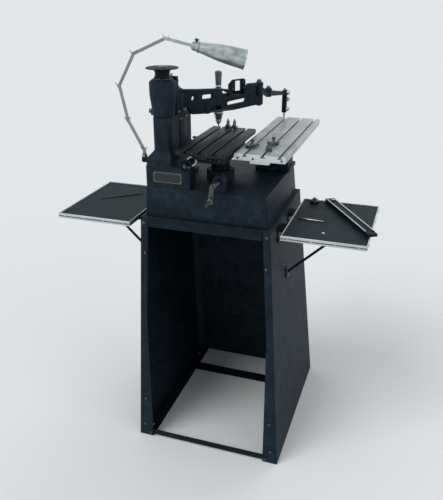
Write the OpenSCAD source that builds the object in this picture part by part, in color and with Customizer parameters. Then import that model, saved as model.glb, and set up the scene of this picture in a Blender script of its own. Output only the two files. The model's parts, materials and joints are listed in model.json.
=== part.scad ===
// Pantograph engraving machine on a sheet-metal stand.
// Origin: centre of the stand's four floor bolts, on the floor. +X right, +Y back, +Z up.

/* [Stand] */
// Width of the stand at the floor
stand_w = 540; // [500:1:600]
// Depth of the stand at the floor
stand_d = 640; // [600:1:700]
// Height of the stand's top
stand_h = 900; // [850:1:950]
// How far each side leans in at the top
side_lean = 54; // [40:1:60]
// How far the back leans forward at the top
back_lean = 203; // [180:1:215]
// Sheet thickness of sides, back and top
sheet = 3; // [2:0.5:4]
// Width of the side pans' flanges at the floor
flange_w = 55; // [45:1:60]
// Least width of the front flange, near the top
flange_top_w = 25; // [18:1:30]
// Depth of the lip under the stand's top
top_lip = 30; // [20:1:45]
// Height of the front floor bar
bar_h = 20; // [15:1:30]
// Gap between the front floor bar and the floor
bar_gap = 7; // [5:1:15]
// Thickness of the front floor bar
bar_t = 5; // [4:0.5:8]
// Width of the rear floor bar
rear_bar_w = 50; // [35:1:60]
// Distance of the rear floor bar's middle from the back
rear_bar_in = 156; // [130:1:180]
// Diameter of the floor bolt holes
floor_hole_d = 12; // [9:0.5:14]
// Distance of a floor bolt hole from the front or back
floor_hole_in = 60; // [45:1:90]

/* [Shelves] */
// Length of a shelf, front to back
shelf_l = 366; // [320:1:400]
// Width of a shelf
shelf_w = 262; // [230:1:290]
// Thickness of a shelf board
shelf_t = 12; // [8:1:14]
// Height of a shelf board's top
shelf_z = 883; // [850:1:888]
// How far the edging strip stands above the board
edging_lip = 4; // [2:0.5:6]
// Thickness of the edging strip
edging_t = 3; // [2:0.5:4]
// Gap between a shelf and the stand's side
shelf_gap = 26; // [20:1:34]
// Distance of the left shelf's front edge behind the stand's front
shelf_left_in = -28; // [-40:1:40]
// Distance of the right shelf's front edge behind the stand's front
shelf_right_in = 12; // [-40:1:40]
// Diameter of a shelf strut
strut_d = 9; // [7:0.5:12]
// How far out along the shelf a strut meets it
strut_out = 185; // [150:1:220]
// How far down the stand's side a strut ends
strut_drop = 190; // [150:1:230]

/* [Base and column] */
// Height of the base casting
base_h = 100; // [85:1:115]
// Inset of the base casting from the stand's top edges
base_in = 13; // [8:1:18]
// Wall of the base casting
base_wall = 12; // [8:1:16]
// Diameter of the post that the head slides on
post_d = 56; // [50:1:60]
// Height of the post's top above the deck
post_h = 310; // [304:1:314]
// Height of the column's box above the deck
column_h = 215; // [200:1:218]
// Distance of the post from the base's left edge
post_in_x = 47; // [44:1:52]
// Distance of the post from the base's front edge
post_in_y = 53; // [50:1:58]
// Width of the badge plate
badge_w = 100; // [70:1:110]
// Height of the badge plate
badge_h = 38; // [28:1:42]

/* [Work table] */
// Height of the work table's top above the deck
table_z = 136; // [132:1:142]
// Width of the work table
table_w = 152; // [140:1:158]
// Length of the work table
table_l = 350; // [320:1:380]
// Thickness of the work table
table_t = 15; // [14:0.5:15.5]
// Width of a T-slot at the top of both tables
slot_w = 8; // [7:0.5:10]
// Depth of a T-slot
slot_deep = 9; // [8:0.5:10]
// Diameter of the knee's ram
ram_d = 60; // [50:1:66]
// Radius of the elevating crank
crank_r = 46; // [40:1:48]
// Radius of the table's handwheel
table_wheel_r = 20; // [17:0.5:20]
// Radius of the cross slide's handwheel
cross_wheel_r = 22; // [18:0.5:24]

/* [Copy table] */
// Height of the copy table's top above the deck
copy_z = 118; // [116:1:119]
// Width of the copy table
copy_w = 161; // [150:1:170]
// Length of the copy table
copy_l = 572; // [520:1:600]
// Thickness of the copy table
copy_t = 20; // [18:0.5:24]
// Width of the pedestal under the copy table
pedestal_w = 120; // [100:1:126]
// Depth of the pedestal under the copy table
pedestal_d = 100; // [80:1:110]

/* [Pantograph] */
// Length of the main arm, fulcrum to elbow
main_len = 326; // [310:1:340]
// Length of the stylus arm, elbow to stylus
stylus_len = 219.7; // [205:0.1:230]
// Fraction of the stylus's travel that reaches the cutter
ratio = 0.344; // [0.33:0.001:0.36]
// Direction of the main arm at rest
main_angle = 52.9; // [50:0.1:55]
// Turn of the stylus arm against the main arm at rest
fold_angle = 26.05; // [26:0.05:32]
// Thickness of the main arm
arm_t = 16; // [12:0.5:17]
// Diameter of the pivot pins
pin_d = 10; // [8:0.5:12]
// Diameter of the fulcrum pin
fulcrum_d = 16; // [12:0.5:18]
// Diameter of the spindle housing
housing_d = 26; // [25:0.5:27]
// Diameter of the quill
quill_d = 18; // [16:0.5:19]
// Diameter of the spindle
spindle_d = 10; // [8:0.5:11]
// Diameter of the cutter's shank
cutter_d = 4.7; // [3:0.1:6]
// Diameter of the stylus
stylus_d = 8; // [6:0.5:10]
// Diameter of the head's handwheel
head_wheel_d = 98; // [80:1:110]

/* [Lamp] */
// Length of each lamp arm between its hinges
lamp_len = 107; // [95:1:115]
// Width of a lamp arm
lamp_arm_w = 11; // [9:0.5:14]
// Thickness of a lamp arm
lamp_arm_t = 4; // [3:0.5:5]
// Direction of the lamp in plan
lamp_turn = 20; // [0:1:30]
// Length of the lamp shade
shade_l = 150; // [120:1:165]
// Radius of the lamp shade's mouth
shade_r = 30; // [28:1:34]

/* [Hidden] */
$fn = 48;
paint = [0.16, 0.20, 0.23];
paint_dark = [0.11, 0.14, 0.16];
linoleum = [0.13, 0.15, 0.15];
alloy = [0.72, 0.73, 0.72];
steel = [0.62, 0.63, 0.64];
brass_c = [0.72, 0.58, 0.32];
enamel = [0.80, 0.80, 0.76];

run_gap = 0.05;      // radial clearance of a shaft in its bore
slide_gap = 0.2;     // clearance between flat faces that slide
far = 4000;          // reach of a trimming block

// ---- stand ----
front_y = -stand_d / 2;
lean_a = atan(side_lean / stand_h);
back_a = atan(back_lean / stand_h);
top_t = sheet + 1;
bend_z = stand_h * (flange_w - flange_top_w) / side_lean;
function half_w(z) = stand_w / 2 - side_lean * z / stand_h;
function rear_y(z) = stand_d / 2 - back_lean * z / stand_h;

// ---- base casting and deck ----
deck_z = stand_h + base_h;
base_front = front_y + base_in;
base_half = half_w(stand_h) - base_in;
base_half_top = half_w(deck_z) - base_in;
base_rear = rear_y(stand_h) - base_in;
base_rear_top = rear_y(deck_z) - base_in;
base_bolt_d = 12;

// ---- column and post ----
post = [-base_half_top + post_in_x, base_front + post_in_y];
box_top = deck_z + column_h;
post_top = deck_z + post_h;
waist_x = [post[0] - 30, post[0] + 32];
waist_y = [post[1] - 29, post[1] + 161];
foot_x = [post[0] - 46, waist_x[1] + 7];
foot_y = [post[1] - 46, waist_y[1] + 7];
foot_high = 88;      // level where the column starts to draw in
foot_t = 14;
badge_block_d = 50;
badge_block_h = 68;
badge_block = [foot_x[0], base_front + 1, badge_w + 47];

// ---- pantograph, plan points ----
function polar(a, r) = [r * cos(a), r * sin(a)];
fulcrum = post + [18, 66];
elbow = fulcrum + polar(main_angle, main_len);
tip = elbow + polar(main_angle + fold_angle, stylus_len);
crook = fulcrum + polar(main_angle, ratio * main_len);
axis_s = crook + polar(main_angle + fold_angle, ratio * stylus_len);
rear_p = elbow + polar(main_angle + fold_angle, ratio * stylus_len);
stylus_angle = main_angle + fold_angle;

// ---- levels of the pantograph ----
arm_low = deck_z + 200;
arm_root_low = deck_z + 228;
arm_high = deck_z + 276;
elbow_low = deck_z + 206;
elbow_mid = deck_z + 238;
elbow_high = deck_z + 268;
fork_high = deck_z + 279;
hub_r = 20;
elbow_r = 14;
ear_t = 11;
link_low = deck_z + 208;
link_high = deck_z + 220;
rear_low = deck_z + 241;
rear_high = deck_z + 249;
rear_boss_low = deck_z + 220;
housing_low = deck_z + 166;
housing_high = deck_z + 256;
nose_r = 16;

// ---- work side ----
work_x = 0;
ram_y = base_front + 157;
work_top = deck_z + table_z;
table_bottom = work_top - table_t;
table_y = base_front - 43 + table_l / 2;
saddle_h = 22;
saddle_x = [-46, 30];
saddle_y = [base_front + 30, base_front + 270];
saddle_top = table_bottom - slide_gap;
saddle_low = saddle_top - saddle_h;
knee_h = 24;
knee_top = saddle_low - slide_gap;
knee_low = knee_top - knee_h;
knee_x = [-48, 46];
knee_y = [base_front + 55, base_front + 285];
rail_h = 7;
rail_w = 44;
guide_r = ram_d / 2 + 16;
guide_top = deck_z + 34;
guide_low = deck_z - 42;
ram_low = deck_z - 55;
crank_x = 44;
crank_z = deck_z + 36;
crank_shaft_d = 14;
crank_front = base_front - 58;
crank_t = 8;
bearing_y = base_front + 4;
bearing_d = 30;
wheel_x = -36;
wheel_z = saddle_low + saddle_h / 2 - 12;
wheel_y = base_front - 62;
screw_d = 10;
bearing_w = 22;
cross_y = base_front + 250;
cross_z = knee_low + knee_h / 2;
cross_x = -112;

// ---- copy side ----
copy_top = deck_z + copy_z;
copy_bottom = copy_top - copy_t;
copy_x = work_x + table_w / 2 + 3.5 + copy_w / 2;
copy_y = base_rear_top - pedestal_d / 2 - 8;
pedestal_x = copy_x - 18;
key_w = 60;
key_h = 8;
lock_z = deck_z + 52;
pedestal_front = base_rear_top - 1 - pedestal_d;

// ---- spindle and stylus ----
cutter_tip = work_top + 2;
stylus_tip = copy_top + 0.5;
stylus_block_low = deck_z + 140;
stylus_block_high = deck_z + 223;
stylus_block_w = 15;

// ---- shelves ----
shelf_side_z = shelf_z - shelf_t;
shelf_in = half_w(shelf_side_z) + shelf_gap;

// ---- lamp: in-plane directions of its arms ----
lamp_foot = [foot_x[0] - 35, post[1] + 18, deck_z + 98];
lamp_dirs = [115.7, 101, 62.5, 24.2, -14.4];
lamp_gap = 0.3;
lamp_side = lamp_arm_t + lamp_gap;
bolt_r = 2.5;
function lamp_at(n) = n == 0 ? [0, 0] : lamp_at(n - 1) + polar(lamp_dirs[n - 1], lamp_len);

// ================= shared shapes =================
// Rounded rectangle about the origin, with true arcs at its corners
module rounded(w, h, r) {
    square([w - 2 * r, h], center = true);
    square([w, h - 2 * r], center = true);
    for (sx = [-1, 1])
        for (sy = [-1, 1])
            translate([sx * (w / 2 - r), sy * (h / 2 - r)])
                circle(r);
}

// Straight bar between two plan points, its round eyes a little wider than its web
module bar2(p, q, r) {
    d = q - p;
    web = 0.85 * r;
    translate(p) circle(r);
    translate(q) circle(r);
    translate(p) rotate(atan2(d[1], d[0])) translate([0, -web]) square([norm(d), 2 * web]);
}

module rod_z(at, r, z0, z1) {
    translate([at[0], at[1], z0]) cylinder(r = r, h = z1 - z0);
}

// Profile given in X and Z, extruded from y0 towards +Y
module along_y(y0, len) {
    translate([0, y0 + len, 0]) rotate([90, 0, 0]) linear_extrude(len) children();
}

// Profile given in Y and Z, extruded from x0 towards +X
module along_x(x0, len) {
    translate([x0, 0, 0]) rotate([90, 0, 90]) linear_extrude(len) children();
}

module box(x, y, z) {
    translate([x[0], y[0], z[0]]) cube([x[1] - x[0], y[1] - y[0], z[1] - z[0]]);
}

// Knurled-look knob: a stepped button about +Z
module knob(r, h) {
    cylinder(r = r * 0.62, h = h * 0.35);
    translate([0, 0, h * 0.35]) cylinder(r = r, h = h * 0.5);
    translate([0, 0, h * 0.85]) cylinder(r1 = r, r2 = r * 0.8, h = h * 0.15);
}

// Hexagon-headed bolt about +Z, its head's underside at the origin
module hex_bolt(d, len) {
    cylinder(d = 2 * d, h = 0.65 * d, $fn = 6);
    translate([0, 0, -len]) cylinder(d = d, h = len);
}

// Spoked handwheel about +Z with a round rim
module handwheel(r, rim, hub_r, hub_h, bore) {
    difference() {
        union() {
            rotate_extrude() translate([r - rim, 0]) circle(rim, $fn = 24);
            for (a = [90, 210, 330])
                rotate(a)
                    translate([0, -rim * 0.7, -rim * 0.5])
                        cube([r - rim, rim * 1.4, rim]);
            translate([0, 0, -hub_h / 2]) cylinder(r = hub_r, h = hub_h);
        }
        translate([0, 0, -hub_h]) cylinder(d = bore, h = 2 * hub_h);
    }
}

// ================= stand =================
module back_layer(depth) {
    // A sheet in the leaning back plane, "depth" in from its outer face
    translate([0, stand_d / 2, 0])
        rotate([back_a, 0, 0])
            translate([0, -depth, 0])
                rotate([90, 0, 0])
                    linear_extrude(sheet)
                        children();
}

module stand_slab(z0, z1) {
    translate([-far / 2, -far / 2, z0]) cube([far, far, z1 - z0]);
}

module side_pan() {
    slope = 1 / cos(back_a);
    intersection() {
        stand_slab(0, stand_h - top_t);
        union() {
            // leaning side sheet
            translate([stand_w / 2, 0, 0])
                rotate([0, -lean_a, 0])
                    along_x(-sheet, sheet)
                        polygon([
                            [front_y, -20],
                            [rear_y(-20) - sheet * slope, -20],
                            [rear_y(stand_h + 20) - sheet * slope, stand_h + 20],
                            [front_y, stand_h + 20]
                        ]);
            // front flange, wide at the floor, with an upright inner edge
            along_y(front_y, sheet)
                polygon([
                    [half_w(0) - flange_w, 0],
                    [half_w(0) - 1, 0],
                    [half_w(stand_h) - 1, stand_h],
                    [half_w(stand_h) - flange_top_w, stand_h],
                    [half_w(bend_z) - flange_top_w, bend_z]
                ]);
            // rear flange, behind which the back sheet lies
            back_layer(sheet)
                polygon([
                    [half_w(0) - flange_w * 0.6, -20],
                    [half_w(0) - 1, -20],
                    [half_w(stand_h) - 1, stand_h / cos(back_a)],
                    [half_w(stand_h) - flange_w * 0.6, stand_h / cos(back_a)]
                ]);
            // floor flange
            difference() {
                box([half_w(0) - flange_w, half_w(0) - 1], [front_y, rear_y(0) - sheet - 1], [0, sheet]);
                for (y = [front_y + floor_hole_in, -front_y - floor_hole_in])
                    rod_z([half_w(0) - flange_w / 2, y], floor_hole_d / 2, -1, sheet + 1);
            }
        }
    }
}

module stand_side_right() {
    color(paint) side_pan();
}

module stand_side_left() {
    color(paint) mirror([1, 0, 0]) side_pan();
}

module stand_back() {
    color(paint)
        intersection() {
            stand_slab(0, stand_h - top_t);
            back_layer(0)
                polygon([
                    [-half_w(-20), -20],
                    [half_w(-20), -20],
                    [half_w(stand_h + 20), (stand_h + 20) / cos(back_a)],
                    [-half_w(stand_h + 20), (stand_h + 20) / cos(back_a)]
                ]);
        }
}

module stand_top() {
    top_w = half_w(stand_h) + 1;
    lip_w = half_w(stand_h) - flange_top_w - 1;
    color(paint)
        union() {
            difference() {
                box([-top_w, top_w], [front_y - 1, rear_y(stand_h) + 1], [stand_h - top_t, stand_h]);
                base_bolt_places() translate([0, 0, -stand_h]) cylinder(d = base_bolt_d + 1, h = 2 * stand_h);
            }
            box([-lip_w, lip_w], [front_y, front_y + sheet], [stand_h - top_t - top_lip, stand_h - top_t]);
            box([-lip_w, lip_w], [front_y, front_y + 18],
                [stand_h - top_t - top_lip, stand_h - top_t - top_lip + sheet]);
        }
}

module front_floor_bar() {
    w = half_w(0) - flange_w + 18;
    color(paint_dark) box([-w, w], [front_y + sheet, front_y + sheet + bar_t], [bar_gap, bar_gap + bar_h]);
}

module rear_floor_bar() {
    w = half_w(0) - flange_w + 25;
    y = stand_d / 2 - rear_bar_in;
    color(paint_dark)
        translate([0, y, sheet])
            linear_extrude(sheet)
                square([2 * w, rear_bar_w], center = true);
}

// Bolts of the stand: floor bars to the flanges, and brackets and struts to the sides
module stand_bolts() {
    y = stand_d / 2 - rear_bar_in;
    color(steel) {
        for (s = [-1, 1]) {
            for (dy = [-1, 1])
                translate([s * (half_w(0) - flange_w + 13), y + dy * rear_bar_w / 4, 2 * sheet])
                    cylinder(d = 12, h = 4.5, $fn = 6);
            translate([s * (half_w(0) - flange_w + 9), front_y, bar_gap + bar_h / 2])
                rotate([90, 0, 0])
                    cylinder(d = 12, h = 4.5, $fn = 6);
        }
    }
}

// ================= shelves =================
// Places children at a shelf's inner front corner, on the board's top; +X is outwards
module shelf_frame(s) {
    y = front_y + (s > 0 ? shelf_right_in : shelf_left_in);
    mirror([s > 0 ? 0 : 1, 0, 0]) translate([shelf_in, y, shelf_z]) children();
}

module shelf_board() {
    translate([edging_t, edging_t, -shelf_t])
        cube([shelf_w - 2 * edging_t, shelf_l - 2 * edging_t, shelf_t]);
}

module shelf_left() {
    color(linoleum) shelf_frame(-1) shelf_board();
}

module shelf_right() {
    color(linoleum) shelf_frame(1) shelf_board();
}

module shelf_edging() {
    z0 = -shelf_t;
    edging_h = shelf_t + edging_lip;
    color(alloy)
        for (s = [-1, 1])
            shelf_frame(s) {
                for (y = [0, shelf_l - edging_t])
                    translate([0, y, z0]) cube([shelf_w, edging_t, edging_h]);
                for (x = [0, shelf_w - edging_t])
                    translate([x, edging_t, z0]) cube([edging_t, shelf_l - 2 * edging_t, edging_h]);
            }
}

// Slide for master letters, lying across the right shelf's edging
module letter_slide() {
    a = [90, 368];
    b = [268, 78];
    l = norm(b - a);
    w = 32;
    color(paint_dark)
        shelf_frame(1)
            translate([a[0], a[1], edging_lip])
                rotate(atan2(b[1] - a[1], b[0] - a[0])) {
                    translate([0, -w / 2, 0]) cube([l, w, 9]);
                    for (s = [-1, 1])
                        translate([12, s * (w / 2 - 2.5) - 2.5, 9]) cube([l - 34, 5, 2]);
                }
}

bracket_l = 70;
bracket_t = 4;
function bracket_ys(s) = [
    front_y + (s > 0 ? shelf_right_in : shelf_left_in) + 75,
    front_y + (s > 0 ? shelf_right_in : shelf_left_in) + shelf_l - 75 - bracket_l
];

// Angle brackets that carry the shelves on the stand's sides
module shelf_brackets() {
    z1 = shelf_side_z;
    drop = 42;
    color(paint_dark)
        for (s = [-1, 1])
            mirror([s > 0 ? 0 : 1, 0, 0])
                for (y = bracket_ys(s))
                    along_y(y, bracket_l)
                        polygon([
                            [half_w(z1), z1],
                            [shelf_in + 45, z1],
                            [shelf_in + 45, z1 - bracket_t],
                            [half_w(z1 - bracket_t) + bracket_t, z1 - bracket_t],
                            [half_w(z1 - drop) + bracket_t, z1 - drop],
                            [half_w(z1 - drop), z1 - drop]
                        ]);
}

// One diagonal strut under each shelf, with a flattened foot at each end
module shelf_struts() {
    z1 = shelf_side_z;
    z0 = z1 - strut_drop;
    pad_t = 4;
    pad_w = 24;
    a = [shelf_in + strut_out, z1 - pad_t - strut_d / 2 + 2];
    b = [half_w(z0) + pad_t + strut_d / 2 - 2, z0];
    color(paint_dark)
        for (s = [-1, 1])
            shelf_frame_plan(s) {
                hull_free_rod(a, b, strut_d / 2);
                translate([a[0] - 8, -pad_w / 2, z1 - pad_t]) cube([30, pad_w, pad_t]);
                along_y(-pad_w / 2, pad_w)
                    polygon([
                        [half_w(z0 + 14), z0 + 14],
                        [half_w(z0 + 14) + pad_t, z0 + 14],
                        [half_w(z0 - 22) + pad_t, z0 - 22],
                        [half_w(z0 - 22), z0 - 22]
                    ]);
            }
}

// Middle of a shelf's length, in plan; +X is outwards
module shelf_frame_plan(s) {
    y = front_y + (s > 0 ? shelf_right_in : shelf_left_in) + shelf_l / 2;
    mirror([s > 0 ? 0 : 1, 0, 0]) translate([0, y, 0]) children();
}

// Round rod between two points of the X-Z plane
module hull_free_rod(p, q, r) {
    d = q - p;
    translate([p[0], 0, p[1]])
        rotate([0, 90 - atan2(d[1], d[0]), 0])
            cylinder(r = r, h = norm(d));
}

// ================= base casting =================
module base_bolt_places() {
    for (x = [-1, 1])
        for (y = [base_front + 24, base_rear - 34])
            translate([x * (base_half - 26), y, stand_h])
                children();
}

// Tapered block between two levels: x range and y range at the bottom and at the top
module taper_block(x0, x1, y0, y1, z0, z1) {
    intersection() {
        along_y(min(y0[0], y1[0]) - 5, max(y0[1], y1[1]) - min(y0[0], y1[0]) + 10)
            polygon([[x0[0], z0], [x0[1], z0], [x1[1], z1], [x1[0], z1]]);
        along_x(min(x0[0], x1[0]) - 5, max(x0[1], x1[1]) - min(x0[0], x1[0]) + 10)
            polygon([[y0[0], z0], [y0[1], z0], [y1[1], z1], [y1[0], z1]]);
    }
}

module machine_base() {
    w = base_wall;
    color(paint)
        difference() {
            union() {
                taper_block([-base_half, base_half], [-base_half_top, base_half_top],
                            [base_front, base_rear], [base_front, base_rear_top], stand_h, deck_z);
                rod_z([work_x, ram_y], guide_r, deck_z - base_wall, guide_top);
            }
            // open underside
            difference() {
                taper_block([-base_half + w, base_half - w], [-base_half_top + w, base_half_top - w],
                            [base_front + w, base_rear - w], [base_front + w, base_rear_top - w],
                            stand_h - 1, deck_z - base_wall);
                rod_z([work_x, ram_y], guide_r, guide_low, deck_z);
                base_bolt_places() translate([0, 0, -1]) cylinder(r = 16, h = base_h);
            }
            rod_z([work_x, ram_y], ram_d / 2 + run_gap, stand_h, guide_top + 1);
            base_bolt_places() translate([0, 0, -1]) cylinder(d = base_bolt_d + 1, h = 31);
        }
}

module base_bolts() {
    color(steel)
        base_bolt_places()
            translate([0, 0, -top_t])
                mirror([0, 0, 1])
                    hex_bolt(base_bolt_d - 2, top_t + 26);
}

module column() {
    mid = [waist_x[0] + waist_x[1], waist_y[0] + waist_y[1]] / 2;
    color(paint)
        difference() {
            union() {
                translate([mid[0], mid[1], deck_z + foot_high - 4])
                    linear_extrude(column_h - foot_high + 4)
                        rounded(waist_x[1] - waist_x[0], waist_y[1] - waist_y[0], 18);
                taper_block(foot_x, waist_x + [6, -6], foot_y, waist_y + [6, -6],
                            deck_z + foot_high, deck_z + foot_high + 26);
                box(foot_x, foot_y, [deck_z, deck_z + foot_high]);
                box([foot_x[0], foot_x[1] + 8], [base_front + 1, foot_y[1] + 8], [deck_z, deck_z + foot_t]);
                translate([badge_block[0], badge_block[1], deck_z])
                    cube([badge_block[2], badge_block_d, badge_block_h]);
                rod_z(post, post_d / 2, box_top - 1, post_top);
            }
            rod_z(post, 8 + run_gap, box_top + 8, post_top + 1);
        }
}

module badge_plate() {
    color(alloy)
        translate([badge_block[0] + 23 + badge_w / 2, badge_block[1], deck_z + 34])
            rotate([90, 0, 0])
                linear_extrude(1.5)
                    rounded(badge_w, badge_h, 5);
}

// ================= copy table =================
module copy_pedestal() {
    x0 = pedestal_x - pedestal_w / 2;
    x1 = pedestal_x + pedestal_w / 2;
    y0 = pedestal_front;
    y1 = y0 + pedestal_d;
    z1 = copy_bottom - slide_gap;
    color(paint)
        difference() {
            union() {
                box([x0, x1], [y0, y1], [deck_z, deck_z + 14]);
                box([x0 + 8, x1 - 8], [y0 + 10, y1 - 10], [deck_z, z1]);
                box([x0, x1], [y0, y1], [z1 - 22, z1]);
                translate([pedestal_x, y0 + 10, lock_z]) rotate([90, 0, 0]) cylinder(r = 14, h = 14);
            }
            box([copy_x - key_w / 2 - slide_gap, copy_x + key_w / 2 + slide_gap],
                [y0 - 1, y1 + 1], [z1 - key_h - slide_gap, z1 + 1]);
            translate([pedestal_x, y0 + 40, lock_z])
                rotate([90, 0, 0])
                    cylinder(d = pin_d + 2 * run_gap, h = 60);
        }
}

// Cross-section of a T-slot, hanging down from the origin
module tee_slot() {
    foot_w = slot_w + 6;
    translate([-slot_w / 2, -slot_deep]) square([slot_w, slot_deep + 1]);
    translate([-foot_w / 2, -slot_deep]) square([foot_w, slot_deep / 2]);
}

function copy_slots() = [-0.29 * copy_w, 0.06 * copy_w, 0.39 * copy_w];
function work_slots() = [-table_w / 3.4, 0, table_w / 3.4];

module copy_table() {
    y0 = copy_y - copy_l / 2;
    color(alloy)
        along_y(y0, copy_l)
            difference() {
                union() {
                    translate([copy_x - copy_w / 2, copy_bottom]) square([copy_w, copy_t]);
                    translate([copy_x - key_w / 2, copy_bottom - key_h]) square([key_w, key_h + 1]);
                }
                for (x = copy_slots())
                    translate([copy_x + x, copy_top]) tee_slot();
            }
}

// Toe clamp about a T-slot: strap, heel and thumb screw
module toe_clamp(len, turn) {
    rotate(turn) {
        difference() {
            translate([-len / 2, -8, 4]) cube([len, 16, 5]);
            cylinder(r = 3.2, h = 20);
        }
        translate([-len / 2, -8, 0]) cube([8, 16, 4]);
        cylinder(r = 3, h = 18);
        translate([0, 0, 9]) cylinder(r = 7, h = 3);
        translate([0, 0, 18]) cylinder(r = 6, h = 8);
    }
}

module copy_clamps() {
    y0 = copy_y - copy_l / 2;
    color(steel) {
        translate([copy_x + copy_slots()[0], y0 + 88, copy_top]) toe_clamp(46, 60);
        translate([copy_x + copy_slots()[1], y0 + 74, copy_top]) toe_clamp(46, 110);
        translate([copy_x + copy_slots()[1], y0 + 136, copy_top]) toe_clamp(40, 250);
    }
}

module copy_lock_knob() {
    color(steel)
        translate([pedestal_x, pedestal_front - 4, lock_z])
            rotate([90, 0, 0]) {
                translate([0, 0, -36]) cylinder(d = pin_d, h = 37);
                translate([0, 0, slide_gap]) cylinder(r = 9, h = 10);
                translate([0, 0, 7]) rotate([0, 62, 70]) cylinder(r1 = 3.5, r2 = 2.8, h = 34);
                translate([0, 0, 7]) rotate([0, 62, 70]) translate([0, 0, 36]) sphere(6);
            }
}

// ================= work table, saddle, knee =================
module knee() {
    color(paint)
        difference() {
            union() {
                box(knee_x, knee_y, [knee_low, knee_top]);
                rod_z([work_x, ram_y], ram_d / 2, ram_low, knee_low + 1);
                // bearing of the cross screw
                translate([knee_x[0] - 14, cross_y, cross_z]) rotate([0, 90, 0]) cylinder(r = 11, h = 20);
            }
            // guide groove for the saddle's rail
            box([knee_x[0] - 1, knee_x[1] + 1],
                [ram_y - rail_w / 2 - slide_gap, ram_y + rail_w / 2 + slide_gap],
                [knee_top - rail_h - slide_gap, knee_top + 1]);
            translate([knee_x[0] - 30, cross_y, cross_z])
                rotate([0, 90, 0])
                    cylinder(d = screw_d + 2 * run_gap, h = 100);
        }
}

module saddle() {
    color(paint)
        difference() {
            union() {
                box(saddle_x, saddle_y, [saddle_low, saddle_top]);
                box(saddle_x, [ram_y - rail_w / 2, ram_y + rail_w / 2], [saddle_low - rail_h, saddle_low + 1]);
                // bearing of the table screw
                box([wheel_x - 13, wheel_x + 13], [saddle_y[0], saddle_y[0] + bearing_w], [wheel_z - 13, saddle_top]);
            }
            // guide groove for the table's rail
            box([work_x - rail_w / 2 - slide_gap, work_x + rail_w / 2 + slide_gap],
                [saddle_y[0] - 1, saddle_y[1] + 1], [saddle_top - rail_h - slide_gap, saddle_top + 1]);
            translate([wheel_x, saddle_y[0] + 60, wheel_z])
                rotate([90, 0, 0])
                    cylinder(d = screw_d + 2 * run_gap, h = 100);
        }
}

module work_table() {
    y0 = table_y - table_l / 2;
    color(paint_dark)
        along_y(y0, table_l)
            difference() {
                union() {
                    translate([work_x - table_w / 2, table_bottom]) square([table_w, table_t]);
                    translate([work_x - rail_w / 2, table_bottom - rail_h]) square([rail_w, rail_h + 1]);
                }
                for (x = work_slots())
                    translate([work_x + x, work_top]) tee_slot();
            }
}

// Upright work clamps at the table's far end: post, jaw and pointed screw
module work_clamps() {
    y = table_y + table_l / 2 - 9.5;
    color(steel)
        for (x = [work_x - 20, work_x + 3])
            translate([x, y, work_top]) {
                translate([-9, -9, 0]) cube([18, 18, 6]);
                cylinder(r = 5.5, h = 22);
                translate([0, 0, 22]) cylinder(r1 = 4, r2 = 1.5, h = 9);
                translate([-4, -17, 0]) cube([8, 17, 13]);
            }
}

module grip(r, len) {
    rotate_extrude()
        polygon([[0, 0], [r * 0.6, 0], [r * 0.7, len * 0.1], [r, len * 0.35],
                 [r * 0.95, len * 0.75], [r * 0.6, len * 0.95], [0, len]]);
}

module table_handwheel() {
    color(steel)
        translate([wheel_x, wheel_y, wheel_z]) {
            rotate([90, 0, 0]) handwheel(table_wheel_r, 3.5, 8, 12, screw_d - 1);
            rotate([-90, 0, 0]) translate([0, 0, -6]) cylinder(d = screw_d, h = saddle_y[0] - wheel_y + 4 + bearing_w);
            rotate([-90, 0, 0]) translate([0, 0, 6]) cylinder(r = 11, h = saddle_y[0] - wheel_y - 6.3);
            translate([table_wheel_r - 3.5, -2, 0]) rotate([90, 0, 0]) grip(3.6, 17);
        }
}

module cross_handwheel() {
    color(steel)
        translate([cross_x, cross_y, cross_z]) {
            rotate([0, 90, 0]) handwheel(cross_wheel_r, 3.5, 8, 12, screw_d - 1);
            rotate([0, 90, 0]) translate([0, 0, -6]) cylinder(d = screw_d, h = knee_x[0] - cross_x + 50);
            rotate([0, 90, 0])
                translate([0, 0, 6])
                    cylinder(r = 10, h = knee_x[0] - 14 - cross_x - 6.3);
            translate([-2, 0, cross_wheel_r - 3.5]) rotate([0, -90, 0]) grip(3.6, 18);
        }
}

module crank_bearing() {
    color(paint)
        difference() {
            union() {
                box([crank_x - 19, crank_x + 19], [bearing_y, bearing_y + bearing_d], [deck_z, crank_z]);
                translate([crank_x, bearing_y + bearing_d, crank_z]) rotate([90, 0, 0]) cylinder(r = 19, h = bearing_d);
            }
            translate([crank_x, bearing_y + bearing_d + 1, crank_z])
                rotate([90, 0, 0])
                    cylinder(d = crank_shaft_d + 2 * run_gap, h = bearing_d + 2);
        }
}

crank_turn = 8;      // how far the crank hangs off the vertical
module knee_crank() {
    color(steel)
        translate([crank_x, crank_front, crank_z]) {
            rotate([-90, 0, 0])
                translate([0, 0, crank_t - 2])
                    cylinder(d = crank_shaft_d, h = bearing_y + bearing_d + 10 - crank_t - crank_front);
            rotate([-90, 0, 0])
                translate([0, 0, crank_t - 1])
                    cylinder(r = 10, h = bearing_y - crank_front - crank_t + 0.7);
            rotate([0, crank_turn, 0])
                difference() {
                    along_y(0, crank_t)
                        bar2([0, 0], [0, -crank_r], 9);
                    translate([0, -1, -crank_r]) rotate([-90, 0, 0]) cylinder(d = 6 + 2 * run_gap, h = crank_t + 2);
                }
        }
}

module crank_grip() {
    color(steel)
        translate([crank_x, crank_front, crank_z])
            rotate([0, crank_turn, 0])
                translate([0, 0, -crank_r]) {
                    rotate([-90, 0, 0]) cylinder(d = 6, h = crank_t);
                    translate([0, -0.3, 0]) rotate([90, 0, 0]) grip(9, 34);
                    rotate([90, 0, 0]) cylinder(d = 6, h = 4);
                }
}

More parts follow.
